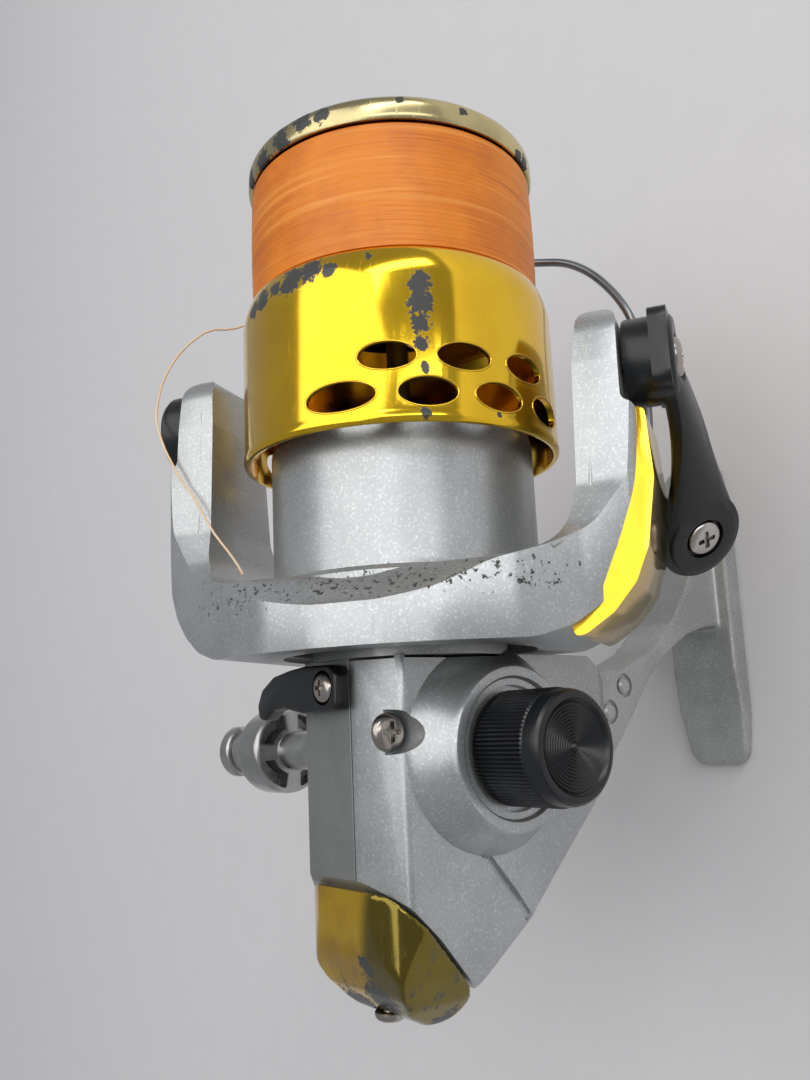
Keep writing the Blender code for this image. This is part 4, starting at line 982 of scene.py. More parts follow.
@dataclass
class RotorArms:
    """The rotor: a cup between two arms that rise from a boat-shaped base."""

    rack: Rack
    back: float = -9.6
    inner: float = 29.4
    outer: float = 38.2
    cup: float = 20.8

    def outside(self, s: int, inset: float) -> Outline:
        """Outside line of one arm, tip to base.

        Args:
            s: 1 for the bail arm's side, -1 for the holder's.
            inset: How far the lower corner is drawn in.

        Returns:
            (forward, along-arms) corners.
        """
        out = [(39.0, 33.2), (38.5, 35.4), (37.2, 36.3), (23.6, 36.3), (22.8, self.outer), (12.0, self.outer - 0.2),
               (2.0, 36.9 - inset), (-2.2, 35.2 - inset), (-5.4, 32.6 - inset), (-8.0, 29.2 - inset),
               (self.back, 24.0)]
        return [(x, s * a) for x, a in out]

    def inside(self, s: int) -> Outline:
        """Inside line of one arm, base to tip, as (forward, along-arms) corners."""
        inn = [(1.3, 18.0), (1.8, 23.0), (3.2, 26.4), (7.0, 28.6), (12.0, self.inner), (30.0, self.inner + 0.4),
               (37.6, 30.6), (38.8, 31.6)]
        return [(x, s * a) for x, a in inn]

    def arms(self) -> None:
        """Model the arms, base and cup as one piece."""
        line = (self.outside(1, 0.6) + list(reversed(self.outside(-1, 0.0))) + list(reversed(self.inside(-1)))
                + self.inside(1))
        obj = Bench.plate("rotor_visual", rounded(line, 7.0, 6), Way.Z, -27.0, 27.0, ROTOR_TURN)
        front = [(38.6, 7.4), (37.4, 9.4), (30.0, 13.8), (22.0, 19.6), (13.0, 24.0), (4.5, 25.7)]
        loop = front + [(-a, b) for a, b in reversed(front)]
        loop = loop + [(-a, -b) for a, b in loop]
        Bench.work(obj, Bench.plate("front_view", rounded(loop, 12.0, 6), Way.X, -20.0, 45.0, ROTOR_TURN), Op.KEEP)
        wide = [(39.4, 5.0), (36.0, 7.6), (30.0, 8.6), (12.0, 10.0), (5.0, 13.0), (2.8, 16.5), (1.0, 20.6),
                (-3.6, 25.2), (-5.0, 28.0), (self.back - 1, 28.0)]
        wide = wide + [(x, -b) for x, b in reversed(wide)]
        Bench.work(obj, Bench.plate("arm_width", rounded(wide, 6.0, 5), Way.Y, -45.0, 45.0, ROTOR_TURN), Op.KEEP)
        Bench.ease(obj, 1.3, 4, 34.0)
        Bench.work(obj, Bench.rod("core", Way.X, (0.0, 0.0), 19.6, self.back - 1, 3.0, ROTOR_TURN, 96), Op.CUT)
        cup = [(24.4, 3.3), (24.4, 18.2), (24.15, 19.2), (23.6, 20.1), (22.8, 20.6), (21.8, self.cup),
               (2.6, self.cup), (1.6, 21.0), (0.9, 21.6), (-8.8, 21.6), (-8.8, 18.6), (21.0, 18.6), (22.4, 17.2),
               (22.4, 3.3)]
        Bench.work(obj, Bench.spun("cup", cup, Way.X, (0.0, 0.0), 144, ROTOR_TURN), Op.JOIN)
        Bench.done(obj, self.rack.rotor, "rotor", "rotor", angle=28.0)
        for s, tag in ((-1, "left"), (1, "right")):
            route = [(34.6, 32.4), (30.0, 31.9), (14.0, 31.5), (8.0, 31.0), (4.6, 29.4), (2.4, 26.6)]
            half = [7.3, 8.3, 9.6, 11.0, 13.2, 16.4]
            pts = [ROTOR_TURN @ Vector((x, s * a, -b + 0.06)) for (x, a), b in zip(route, half)]
            rib = Bench.tube("arm_rib_" + tag, smooth_path(pts, 30), 0.36)
            Bench.done(rib, self.rack.silver, "rotor", angle=60.0)

    def cover(self) -> None:
        """Model the gold cover that wraps the bail arm's side."""
        out = [(22.6, 38.3), (22.0, 39.3), (12.0, 39.95), (2.0, 38.6), (-2.8, 36.8), (-6.6, 33.6), (-9.3, 29.6),
               (-9.5, 28.2)]
        back = [(-6.6, 27.4), (-4.4, 30.2), (-1.2, 32.8), (2.6, 34.6), (12.0, 35.6), (22.4, 35.9)]
        obj = Bench.plate("arm_cover_visual", rounded(out + back, 3.0, 4), Way.Z, -13.0, 13.0, ROTOR_TURN)
        wide = [(24.0, 7.4), (12.0, 9.2), (4.0, 10.8), (-3.0, 12.4), (-11.0, 12.6)]
        wide = wide + [(x, -b) for x, b in reversed(wide)]
        Bench.work(obj, Bench.plate("cover_width", wide, Way.Y, 20.0, 45.0, ROTOR_TURN), Op.KEEP)
        Bench.ease(obj, 1.0, 4, 34.0)
        Bench.done(obj, self.rack.gold_arm, "rotor", "arm_cover")

    def build(self) -> None:
        """Model the rotor and its cover."""
        self.arms()
        self.cover()


@dataclass
class BailRig:
    """The bail: its black arm, holder, wire, cone and roller."""

    rack: Rack
    hub: float = 7.0

    def blade(self) -> bpy.types.Object:
        """The twisting blade between the pivot hub and the roller end.

        Returns:
            The blade, not yet joined to its ends.
        """
        start, stop = Vector((PIVOT_X, 42.3, 0.0)), END - NORMAL * 1.6
        along = (stop - start).normalized()
        section = ((-1.0, -0.6), (-0.86, -1.0), (0.86, -1.0), (1.0, -0.6), (1.0, 0.4), (0.72, 1.0), (0.0, 1.25),
                   (-0.72, 1.0), (-1.0, 0.4))
        Bench.clear()
        bpy.ops.mesh.primitive_circle_add(vertices=len(section), radius=1.0, fill_type="NGON")
        obj = bpy.context.object
        obj.name = "bail_arm_visual"
        steps = 18
        for k in range(steps + 1):
            t = k / steps
            flat = Vector((0.0, 1.0, 0.0)).lerp(NORMAL, t * t * (3 - 2 * t))
            flat = (flat - along * flat.dot(along)).normalized()
            side = along.cross(flat)
            half = self.hub - 0.7 + (7.0 - self.hub + 0.7) * t - 2.2 * math.sin(math.pi * t)
            middle = start.lerp(stop, t) + flat * 1.5 * math.sin(math.pi * t)
            if k:
                bpy.ops.object.mode_set(mode="EDIT")
                bpy.ops.mesh.extrude_region_move(TRANSFORM_OT_translate={"value": (0, 0, 0.01)})
                bpy.ops.object.mode_set(mode="OBJECT")
            ring = list(obj.data.vertices)[-len(section):]
            for vert, (u, w) in zip(ring, section):
                vert.co = middle + side * half * u + flat * 1.45 * w
            if not k:
                bpy.ops.object.mode_set(mode="EDIT")
                bpy.ops.mesh.select_all(action="SELECT")
                bpy.ops.object.mode_set(mode="OBJECT")
        bpy.ops.object.mode_set(mode="EDIT")
        bpy.ops.mesh.select_all(action="SELECT")
        bpy.ops.mesh.normals_make_consistent(inside=False)
        bpy.ops.object.mode_set(mode="OBJECT")
        return Bench.settle(obj, ROTOR_TURN)

    def arm(self) -> None:
        """Model the bail arm."""
        obj = self.blade()
        at, zero = (PIVOT_X, 0.0), (0.0, 0.0)
        hub = [(36.7, 0.0), (36.7, 6.5), (37.0, 6.7), (43.2, 6.7), (43.7, 6.4), (44.0, 5.9), (44.0, 0.0)]
        Bench.work(obj, Bench.spun("hub", hub, Way.Y, at, 72, ROTOR_TURN), Op.JOIN)
        cheek = rounded([(25.6, -6.9), (37.6, -6.9), (38.2, 0.0), (37.6, 6.9), (25.6, 6.9)], 2.2, 4)
        Bench.work(obj, Bench.plate("cheek", cheek, Way.Y, 40.75, 43.4, ROTOR_TURN), Op.JOIN)
        end = [(-3.3, 0.0), (-3.3, 6.8), (-3.0, 7.2), (-1.3, 7.3), (-0.9, 7.1), (-0.75, 6.2), (-0.1, 6.0), (0.0, 5.8),
               (0.0, 0.0)]
        Bench.work(obj, Bench.spun("end", end, Way.Y, zero, 72, ROLLER_TURN), Op.JOIN)
        Bench.work(obj, Bench.rod("hub_way", Way.Y, at, 1.8, 36.0, 48.0, ROTOR_TURN), Op.CUT)
        Bench.work(obj, Bench.rod("hub_sink", Way.Y, at, 3.6, 43.1, 48.0, ROTOR_TURN), Op.CUT)
        Bench.work(obj, Bench.rod("end_way", Way.Y, zero, 1.5, -9.0, 2.0, ROLLER_TURN), Op.CUT)
        Bench.work(obj, Bench.rod("end_sink", Way.Y, zero, 3.4, -1.0, 2.0, ROLLER_TURN), Op.CUT)
        Bench.ease(obj, 0.35, 3, 40.0)
        Bench.done(obj, self.rack.black, "bail", "bail_arm", angle=34.0)

    def holder(self) -> None:
        """Model the holder on the other arm."""
        at = (PIVOT_X, 0.0)
        body = [(-36.65, 0.0), (-36.65, 7.0), (-40.6, 7.0), (-41.2, 6.6), (-41.4, 6.0), (-41.4, 0.0)]
        obj = Bench.spun("bail_holder_visual", body, Way.Y, at, 72, ROTOR_TURN)
        ear = rounded([(PIVOT_X - 5.4, 2.0), (PIVOT_X - 1.6, 11.2), (PIVOT_X + 4.9, 11.2), (PIVOT_X + 6.0, 2.0)],
                      2.0, 5)
        Bench.work(obj, Bench.plate("ear", ear, Way.Y, -41.0, -37.4, ROTOR_TURN), Op.JOIN)
        Bench.work(obj, Bench.rod("holder_way", Way.Y, at, 1.8, -46.0, -36.0, ROTOR_TURN), Op.CUT)
        Bench.ease(obj, 0.4, 3, 40.0)
        Bench.done(obj, self.rack.black, "bail", "bail_holder")

    def wire(self) -> None:
        """Model the wire, its cone and the line roller."""
        tip, lead = END - NORMAL * 12.95, END - NORMAL * 14.6
        route = [tip, lead] + [Vector(p) for p in
                               ((20.5, 35.2, 29.4), (31.5, 36.2, 30.6), (43.0, 36.2, 28.8), (51.5, 34.6, 28.4),
                                (60.0, 29.8, 31.0), (65.5, 24.0, 33.2), (68.2, 17.0, 35.2), (70.2, 8.0, 36.4),
                                (70.6, 0.0, 36.4), (69.4, -9.0, 35.6), (66.0, -18.2, 33.4), (58.6, -28.6, 28.0),
                                (50.0, -34.4, 21.6), (42.0, -37.2, 16.2), (36.6, -38.6, 13.4),
                                (33.2, -39.2, 12.4))]
        pts = smooth_path([ROTOR_TURN @ p for p in route], 150)
        Bench.done(Bench.tube("bail_wire_visual", pts, 0.78), self.rack.wire, "bail", "bail_wire", angle=60.0)
        cone = [(-8.65, 1.5), (-8.65, 3.1), (-8.9, 3.3), (-9.7, 3.3), (-10.6, 2.6), (-11.7, 1.6), (-12.4, 1.15),
                (-12.4, 0.0), (-10.4, 0.0), (-10.4, 1.5)]
        Bench.done(Bench.spun("wire_end_cap_visual", cone, Way.Y, (0.0, 0.0), 48, ROLLER_TURN), self.rack.wire,
                   "bail", "wire_end_cap")
        roll = [(-3.65, 1.5), (-3.65, 3.95), (-3.8, 4.1), (-4.3, 4.1), (-4.9, 3.5), (-5.6, 3.15), (-6.5, 3.1),
                (-7.3, 3.4), (-7.8, 3.9), (-8.0, 4.0), (-8.3, 3.9), (-8.3, 1.5)]
        Bench.done(Bench.spun("line_roller_visual", roll, Way.Y, (0.0, 0.0), 48, ROLLER_TURN), self.rack.steel,
                   "roller", "line_roller")

    def build(self) -> None:
        """Model the whole bail."""
        self.arm()
        self.holder()
        self.wire()


@dataclass
class GearCase:
    """The case, stem and foot, the side cover, the tail cap and the lever."""

    rack: Rack
    outline: Outline = field(default_factory=lambda: [
        (-10.2, 14.0), (-41.0, 14.0), (-57.0, -2.0), (-46.9, -12.6), (-36.6, -25.7), (-31.0, -33.0), (-24.0, -36.0),
        (-14.0, -36.0), (-10.2, -30.0)])
    hollow: Outline = field(default_factory=lambda: [
        (-12.2, 8.4), (-43.7, 8.4), (-53.8, -1.7), (-45.2, -11.4), (-35.2, -23.6), (-30.0, -27.6), (-13.5, -27.6),
        (-12.2, -24.0)])

    def case(self) -> None:
        """Model the case with its stem, foot and collar."""
        obj = Bench.plate("body_housing_visual", self.outline, Way.Y, -3.0, 14.6)
        section = rounded([(-4.0, 15.0), (7.4, 15.0), (12.2, 10.6), (12.6, -6.0), (9.0, -33.0), (5.0, -37.0),
                           (-4.0, -37.0)], 3.0, 4)
        Bench.work(obj, Bench.plate("section", section, Way.X, -60.0, -9.0), Op.KEEP)
        plan = [(-9.0, -4.0), (-9.0, 30.0), (-41.0, 30.0), (-41.0, 13.0), (-48.0, 11.9), (-58.0, 8.8), (-58.0, -4.0)]
        Bench.work(obj, Bench.plate("plan", plan, Way.Z, -40.0, 16.0), Op.KEEP)
        Bench.ease(obj, 0.5, 3, 34.0)
        Bench.work(obj, Bench.plate("hollow", self.hollow, Way.Y, -4.0, 7.4), Op.CUT)
        boss = [(17.0, 0.0), (17.0, 10.6), (16.6, 11.1), (11.6, 14.3), (11.0, 14.6), (9.5, 14.6), (9.5, 0.0)]
        Bench.work(obj, Bench.spun("boss", boss, Way.Y, (HANDLE_X, HANDLE_Z), 72), Op.JOIN)
        stem = ([(-33.0, -22.0), (-32.5, -32.0), (-25.8, -41.8), (-20.2, -47.0), (-14.7, -51.6),
                        (-10.4, -56.2), (-7.4, -61.4), (-5.2, -66.0), (-4.1, -70.5), (-3.4, -78.0), (24.0, -78.0),
                        (19.0, -74.5), (11.5, -70.6), (3.5, -65.8), (-3.5, -60.0), (-8.6, -53.5), (-11.6, -46.0),
                        (-12.4, -38.0), (-12.4, -22.0)])
        bar = Bench.plate("stem", stem, Way.Y, -4.6, 4.6)
        foot = rounded([(-31.0, -80.0), (31.0, -80.0), (31.0, -78.1), (24.0, -75.6), (-12.0, -75.6), (-31.0, -78.1)],
                       1.2, 3)
        plate = Bench.plate("foot", foot, Way.Y, -7.5, 7.5)
        half = [(-31.0, 4.6), (-29.0, 6.4), (-20.0, 7.5), (20.0, 7.5), (29.0, 6.4), (31.0, 4.6)]
        ring = rounded(half + [(x, -y) for x, y in reversed(half)], 3.0, 4)
        Bench.work(plate, Bench.plate("foot_plan", ring, Way.Z, -81.0, -71.0), Op.KEEP)
        Bench.ease(plate, 0.5, 3, 40.0)
        Bench.work(bar, plate, Op.JOIN)
        Bench.soften(bar, 0.45, 7)
        Bench.work(obj, bar, Op.JOIN)
        Bench.work(obj, Bench.rod("collar", Way.X, (0.0, 0.0), 15.0, -10.45, 9.0, steps=96), Op.JOIN)
        Bench.work(obj, Bench.rod("collar_hollow", Way.X, (0.0, 0.0), 12.8, -6.0, 10.0, steps=72), Op.CUT)
        Bench.work(obj, Bench.rod("way", Way.Y, (HANDLE_X, HANDLE_Z), 5.9, 10.0, 15.6), Op.CUT)
        Bench.work(obj, Bench.rod("way_out", Way.Y, (HANDLE_X, HANDLE_Z), 3.7, 9.0, 18.0), Op.CUT)
        for k, (x, z) in enumerate(((-19.5, -40.5), (-15.0, -44.9))):
            Bench.work(obj, Bench.rod("dimple%d" % k, Way.Y, (x, z), 2.1, -5.6, -4.1), Op.CUT)
            dish = [(-4.95, 0.0), (-4.95, 1.0), (-4.6, 1.45), (-3.9, 1.5), (-3.9, 0.0)]
            Bench.work(obj, Bench.spun("dish%d" % k, dish, Way.Y, (x, z), 32), Op.JOIN)
        Bench.work(obj, Bench.rod("low_sink", Way.Y, (-26.5, -30.6), 2.7, 7.0, 14.0), Op.CUT)
        Bench.done(obj, self.rack.case, "housing", "body_housing", angle=30.0)

    def cover(self) -> None:
        """Model the side cover with its boss, flat ring, screw recess and groove."""
        obj = Bench.plate("side_cover_visual", self.outline, Way.Y, -14.6, -3.32)
        section = rounded([(-2.0, 15.0), (-2.5, 15.0), (-11.4, 10.8), (-12.2, -8.0), (-9.0, -33.0), (-6.6, -37.0),
                           (-2.0, -37.0)], 1.2, 3)
        Bench.work(obj, Bench.plate("section", section, Way.X, -60.0, -9.0), Op.KEEP)
        plan = rounded([(-9.0, -2.0), (-9.0, -13.5), (-41.0, -12.9), (-48.0, -11.9), (-58.0, -8.8), (-58.0, -2.0)],
                       4.0, 4)
        Bench.work(obj, Bench.plate("plan", plan, Way.Z, -40.0, 16.0), Op.KEEP)
        Bench.ease(obj, 0.45, 3, 34.0)
        Bench.work(obj, Bench.plate("hollow", self.hollow, Way.Y, -8.4, -3.0), Op.CUT)
        groove = rounded([(-31.6, 4.4), (-30.0, 4.0), (-47.9, -11.0), (-49.0, -10.0)], 0.6, 3)
        Bench.work(obj, Bench.plate("groove", groove, Way.Y, -13.4, -11.35), Op.CUT)
        boss = [(-9.5, 0.0), (-9.5, 15.6), (-11.4, 15.4), (-12.3, 14.9), (-13.4, 14.1), (-15.0, 12.9), (-16.6, 12.0),
                (-17.15, 11.75), (-17.4, 11.5), (-17.45, 11.2), (-17.4, 10.2), (-17.1, 9.9), (-16.8, 9.8),
                (-16.8, 0.0)]
        Bench.work(obj, Bench.spun("boss", boss, Way.Y, (HANDLE_X, HANDLE_Z), 120), Op.JOIN)
        Bench.work(obj, Bench.rod("collar_way", Way.X, (0.0, 0.0), 15.35, -10.85, -6.0, steps=72), Op.CUT)
        Bench.work(obj, Bench.rod("pinion_way", Way.X, (0.0, 0.0), 5.0, -13.0, -9.0), Op.CUT)
        Bench.work(obj, Bench.rod("cap_recess", Way.Y, (HANDLE_X, HANDLE_Z), 8.9, -19.0, -15.9, steps=72), Op.CUT)
        Bench.work(obj, Bench.rod("bearing_seat", Way.Y, (HANDLE_X, HANDLE_Z), 5.9, -16.5, -7.0), Op.CUT)
        Bench.work(obj, Bench.plate("stem_way", [(-34.0, -40.0), (-9.0, -40.0), (-9.0, -21.0), (-34.0, -21.0)],
                                    Way.Y, -5.0, -3.0), Op.CUT)
        Bench.work(obj, Bench.rod("screw_sink", Way.Y, (-21.0, 12.0), 3.1, -14.0, -8.5), Op.CUT)
        Bench.done(obj, self.rack.silver, "housing", "side_cover", angle=30.0)

    def tail(self) -> None:
        """Model the gold tail cap."""
        side = rounded([(-41.2, 14.25), (-46.5, 14.1), (-51.5, 13.3), (-56.0, 11.2), (-59.4, 8.0), (-61.4, 4.2),
                        (-61.7, 1.0), (-60.4, -1.6), (-57.35, -1.9)], 5.0, 6)
        obj = Bench.plate("tail_cap_visual", side, Way.Y, -12.8, 12.8)
        section = rounded([(-5.0, 14.6), (5.0, 14.6), (10.4, 12.4), (12.5, 8.0), (12.5, -3.0), (-12.5, -3.0),
                           (-12.5, 8.0), (-10.4, 12.4)], 5.0, 6)
        Bench.work(obj, Bench.plate("section", section, Way.X, -63.0, -40.0), Op.KEEP)
        plan = [(-40.0, 12.9), (-41.0, 12.9), (-48.0, 11.9), (-54.0, 10.2), (-58.0, 8.2), (-61.0, 5.6),
                (-63.0, 2.6)]
        ring = rounded([(x, -y) for x, y in plan] + list(reversed(plan)), 4.0, 5)
        Bench.work(obj, Bench.plate("plan", ring, Way.Z, -10.0, 16.0), Op.KEEP)
        Bench.soften(obj, 0.30, 16)
        Bench.work(obj, Bench.rod("sink", Way.X, (0.0, 6.5), 2.7, -63.0, -59.3), Op.CUT)
        Bench.done(obj, self.rack.gold_tail, "housing", "tail_cap", angle=60.0)

    def lever(self) -> None:
        """Model the black lever on the belly."""
        line = rounded([(-11.2, -2.2), (-12.4, -3.9), (-17.6, -3.9), (-17.9, 5.0), (-16.9, 10.5), (-17.2, 13.4), (-18.6, 15.8),
                        (-18.4, 17.6), (-16.2, 18.0), (-13.8, 16.6), (-12.0, 13.2), (-11.3, 8.5), (-11.0, 4.5)],
                       1.2, 4)
        obj = Bench.plate("ar_lever_visual", line, Way.Z, 14.4, 17.0)
        Bench.ease(obj, 0.45, 3, 40.0)
        Bench.work(obj, Bench.rod("lever_sink", Way.Z, (-14.4, -0.6), 2.5, 15.9, 18.0), Op.CUT)
        Bench.work(obj, Bench.rod("lever_way", Way.Z, (-14.4, -0.6), 1.2, 14.0, 18.0), Op.CUT)
        Bench.done(obj, self.rack.black, "lever", "ar_lever")

    def build(self) -> None:
        """Model the fixed pieces and the lever."""
        self.case()
        self.cover()
        self.tail()
        self.lever()


@dataclass
class CrankSide:
    """The knurled cap on one side, and the crank with its grip on the other."""

    rack: Rack
    teeth: int = 84

    def cap(self) -> None:
        """Model the knurled cap with its ringed face."""
        at = (HANDLE_X, HANDLE_Z)
        ring: Outline = []
        for i in range(self.teeth):
            for off, rad in ((0.0, 7.86), (0.34, 8.1), (0.66, 8.1)):
                t = 2 * math.pi * (i + off) / self.teeth
                ring.append((at[0] + rad * math.cos(t), at[1] + rad * math.sin(t)))
        obj = Bench.plate("handle_cap_visual", ring, Way.Y, -26.0, -16.4)
        edge = [(-16.0, 0.0), (-16.4, 7.7), (-16.8, 8.2), (-25.6, 8.2), (-26.1, 7.7), (-26.1, 0.0)]
        Bench.work(obj, Bench.spun("edge", edge, Way.Y, at, 96), Op.KEEP)
        face: Outline = [(-24.0, 0.0), (-24.0, 7.5), (-25.9, 7.83), (-27.4, 7.88), (-28.1, 7.7), (-28.5, 7.35),
                         (-28.65, 6.9), (-28.6, 6.5), (-28.2, 6.2)]
        for k in range(12):
            r = 6.0 - k * 0.46
            face += [(-28.05 - 0.012 * k, r), (-28.22 - 0.014 * k, r - 0.12), (-28.06 - 0.012 * k, r - 0.32)]
        face += [(-28.5, 0.3), (-28.55, 0.0)]
        Bench.work(obj, Bench.spun("face", face, Way.Y, at, 97), Op.JOIN)
        Bench.done(obj, self.rack.black, "crank", "handle_cap", angle=26.0)

    def hub(self) -> None:
        """Model the crank's hub disc with its four pockets, the crank arm and the spindle."""
        at, end = (HANDLE_X, HANDLE_Z), (HANDLE_X, HANDLE_Z - CRANK)
        top = ARM_Y - GAP
        body = [(top, 0.0), (top, 4.3), (top - 0.3, 4.6), (50.8, 4.6), (50.8, 6.9), (50.6, 7.4), (50.1, 7.8),
                (49.5, 7.9), (44.6, 7.9), (43.9, 7.8), (43.4, 7.4), (43.2, 6.9), (42.6, 3.6), (18.0, 3.4),
                (17.6, 3.1), (17.6, 0.0)]
        obj = Bench.spun("handle_hub_visual", body, Way.Y, at, 72)
        for k in range(4):
            a = 46.3 + 90 * k
            pocket = arc(at[0], at[1], 7.0, a - 32, a + 32, 8) + arc(at[0], at[1], 4.3, a + 26, a - 26, 6)
            Bench.work(obj, Bench.plate("pocket%d" % k, rounded(pocket, 0.8, 2), Way.Y, 41.0, 46.5), Op.CUT)
        Bench.ease(obj, 0.15, 2, 45.0)
        Bench.work(obj, Bench.rod("hub_bore", Way.Y, at, 1.67, 17.0, 42.0), Op.CUT)
        Bench.work(obj, Bench.rod("hub_screw_way", Way.Y, at, 1.65, 48.8, 60.0), Op.CUT)
        Bench.done(obj, self.rack.zinc, "crank", "handle_hub")
        x, z = HANDLE_X, HANDLE_Z
        line = (arc(x, z, 5.4, 25, 155, 16) + [(x - 5.0, z - 5.0), (x - 3.9, z - 20.0), (x - 3.7, z - CRANK + 14.0)]
                + arc(x, z - CRANK, 5.2, 190, 350, 16)
                + [(x + 3.7, z - CRANK + 14.0), (x + 3.9, z - 20.0), (x + 5.0, z - 5.0)])
        arm = Bench.plate("handle_arm_visual", rounded(line, 6.0, 4), Way.Y, ARM_Y, ARM_Y + 3.6)
        Bench.ease(arm, 0.9, 4, 45.0)
        for tag, spot, radius in (("spindle_way", end, 2.5), ("arm_screw_way", at, 1.65)):
            Bench.work(arm, Bench.rod(tag, Way.Y, spot, radius, ARM_Y - 1.0, ARM_Y + 5.0), Op.CUT)
        Bench.done(arm, self.rack.zinc, "crank", "handle_arm")
        k0, k1 = KNOB_Y, KNOB_Y + KNOB_L
        grip = [(k0, 2.05), (k0, 4.2), (k0 + 0.4, 4.8), (k0 + 2.0, 5.5), (k0 + 4.5, 5.7), (k0 + 7.0, 5.9),
                (k0 + 10.0, 6.5), (k0 + 13.0, 7.2), (k0 + 16.0, 8.1), (k0 + 19.0, 8.8), (k0 + 21.5, 9.25),
                (k1 - 8.4, 9.4), (k1 - 6.0, 9.35), (k1 - 3.8, 9.0), (k1 - 2.0, 8.3), (k1 - 0.8, 7.4), (k1 - 0.1, 6.3),
                (k1, 5.6), (k1, 3.6), (k1 - 2.9, 3.6), (k1 - 2.9, 2.05)]
        Bench.done(Bench.spun("handle_knob_visual", grip, Way.Y, end, 72), self.rack.knob, "grip", "handle_knob")
        plug = [(k1 + 1.2, 0.0), (k1 + 1.2, 2.3), (k1 + 1.0, 2.8), (k1 + 0.6, 3.15), (k1 - 0.6, 3.25), (k1 - 0.6, 0.0)]
        Bench.done(Bench.spun("knob_end_plug_visual", plug, Way.Y, end, 48), self.rack.wire, "grip", "knob_end_plug")
        pin = [(k1 - 1.0, 0.0), (k1 - 1.0, 3.0), (k1 - 2.5, 3.0), (k1 - 2.5, 1.7), (k0 - 0.6, 1.7), (k0 - 0.6, 2.9),
               (ARM_Y + 3.92, 2.9), (ARM_Y + 3.92, 2.15), (ARM_Y + 0.4, 2.15), (ARM_Y + 0.4, 0.0)]
        Bench.done(Bench.spun("knob_spindle_visual", pin, Way.Y, end, 40), self.rack.steel, "crank", "knob_spindle")

    def build(self) -> None:
        """Model the cap, crank and grip."""
        self.cap()
        self.hub()


@dataclass
class LooseLine:
    """The loose tail of line that loops round the holder's arm."""

    rack: Rack
    thick: float = 0.4
    route: tuple[tuple[float, float, float], ...] = (
        (60.5, -21.9, 10.1), (56.0, -28.5, 9.0), (52.8, -33.5, 5.6), (51.6, -36.7, 1.9), (48.6, -39.7, -0.4),
        (45.4, -41.3, -2.2), (41.0, -42.2, -4.4), (36.5, -41.4, -7.0), (32.7, -40.8, -8.5), (29.3, -39.4, -9.5),
        (26.1, -37.9, -10.0), (20.0, -34.0, -11.0), (17.1, -31.6, -11.4), (11.3, -28.0, -11.9),
        (7.3, -24.6, -12.6), (4.6, -22.0, -14.2), (3.0, -19.8, -17.0))

    def build(self) -> None:
        pts = smooth_path([ROTOR_TURN @ Vector(p) for p in self.route], 40)
        obj = Bench.tube("line_tail_visual", pts, self.thick / 2, mesh=False, sides=2)
        Bench.done(obj, self.rack.tail_line, "rotor", "line_tail")


@dataclass
class InnerWorks:
    """The CAD pieces that keep their shape and take a finish."""

    rack: Rack

    def build(self) -> None:
        """Dress every carried-over node."""
        rack = self.rack
        names: dict[bpy.types.Material, str] = {
            rack.bronze: "drive_gear oscillation_pinion oscillation_gear pinion rotor_nut drag_nut",
            rack.zinc: "bearing_retainer slider_block",
            rack.felt: "drag_felt_a drag_felt_b drag_felt_c",
        }
        chosen = {node: mat for mat, words in names.items() for node in words.split()}
        for node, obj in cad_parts.items():
            obj.data.materials.clear()
            obj.data.materials.append(chosen.get(node, rack.steel))
            LOG.info("node %s dressed", node)


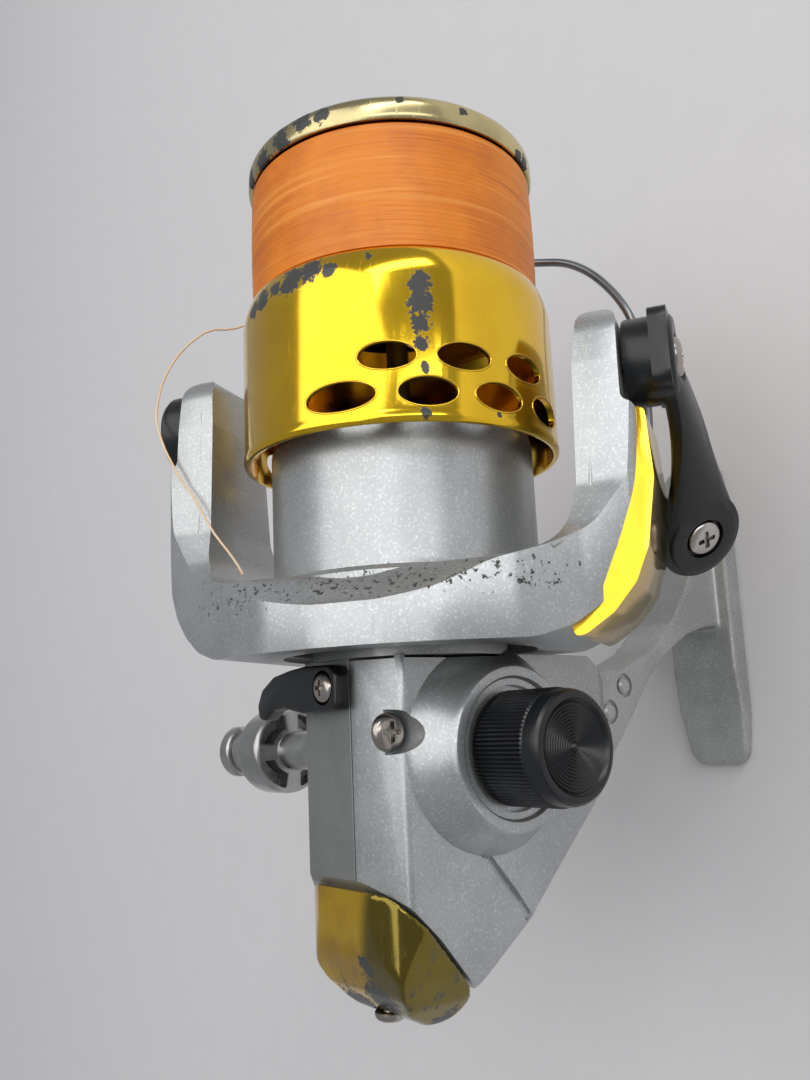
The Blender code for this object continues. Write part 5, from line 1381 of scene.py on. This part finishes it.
@dataclass
class Studio:
    """Floor, lights and camera."""

    rack: Rack

    def floor(self) -> None:
        """Lay the pale floor."""
        Bench.clear()
        bpy.ops.mesh.primitive_plane_add(size=6.0, location=(0.0, 0.0, -0.0003))
        obj = bpy.context.object
        obj.name = "studio_floor"
        bpy.ops.object.transform_apply(location=True, rotation=True, scale=True)
        obj.data.materials.append(self.rack.floor)

    def lamp(self, name: str, spot: tuple[float, float, float], aim: tuple[float, float, float], size: float,
             tall: float, power: float, colour: tuple[float, float, float] = (1.0, 1.0, 1.0)) -> None:
        """Hang one soft light.

        Args:
            name: Its name.
            spot: Where it hangs.
            aim: Where it points.
            size: Width in metres.
            tall: Height in metres.
            power: Power in watts.
            colour: Colour of the light.
        """
        data = bpy.data.lights.new(name, "AREA")
        data.shape = "RECTANGLE"
        data.size = size
        data.size_y = tall
        data.energy = power
        data.color = colour
        obj = bpy.data.objects.new(name, data)
        bpy.context.scene.collection.objects.link(obj)
        obj.location = spot
        obj.rotation_euler = (Vector(aim) - Vector(spot)).to_track_quat("-Z", "Y").to_euler()

    def lights(self) -> None:
        """Hang the studio's lights and set the even surround."""
        world = bpy.data.worlds.new("surround")
        bpy.context.scene.world = world
        world.use_nodes = True
        world.node_tree.nodes["Background"].inputs[0].default_value = (0.80, 0.82, 0.86, 1.0)
        world.node_tree.nodes["Background"].inputs[1].default_value = 0.38
        middle = (0.0, 0.0, 0.08)
        self.lamp("over", (0.34, -0.20, 1.18), middle, 1.5, 1.1, 8.6, (1.0, 0.99, 0.97))
        self.lamp("front", (0.30, -1.05, 0.65), middle, 0.35, 0.9, 2.6)
        self.lamp("right", (0.9, -0.75, 0.6), middle, 0.25, 0.9, 3.6)

    def camera(self) -> None:
        """Set the camera."""
        data = bpy.data.cameras.new("view")
        data.lens = 32.47
        data.sensor_width = 36.0
        data.clip_start = 0.005
        obj = bpy.data.objects.new("view", data)
        bpy.context.scene.collection.objects.link(obj)
        right = Vector((-0.04402, -0.61767, -0.78521))
        down = Vector((-0.98180, 0.17210, -0.08034))
        ahead = Vector((0.18476, 0.76738, -0.61400))
        obj.matrix_world = Matrix(((right.x, -down.x, -ahead.x, -0.0199), (right.y, -down.y, -ahead.y, -0.1186),
                                   (right.z, -down.z, -ahead.z, 0.1750), (0.0, 0.0, 0.0, 1.0)))
        bpy.context.scene.camera = obj

    def build(self) -> None:
        """Set the stage."""
        self.camera()
        self.floor()
        self.lights()
        bpy.context.scene.view_settings.view_transform = "Standard"


def main() -> None:
    """Build the studio and the reel, piece by piece."""
    logging.basicConfig(level=logging.INFO, format="%(message)s")
    rack = Rack()
    Studio(rack).build()
    LooseLine(rack).build()
    InnerWorks(rack).build()
    for maker in (SpoolHead(rack), RotorArms(rack), BailRig(rack), GearCase(rack), CrankSide(rack), Screws(rack)):
        LOG.info("building %s", type(maker).__name__)
        maker.build()


if __name__ == "__main__":
    main()
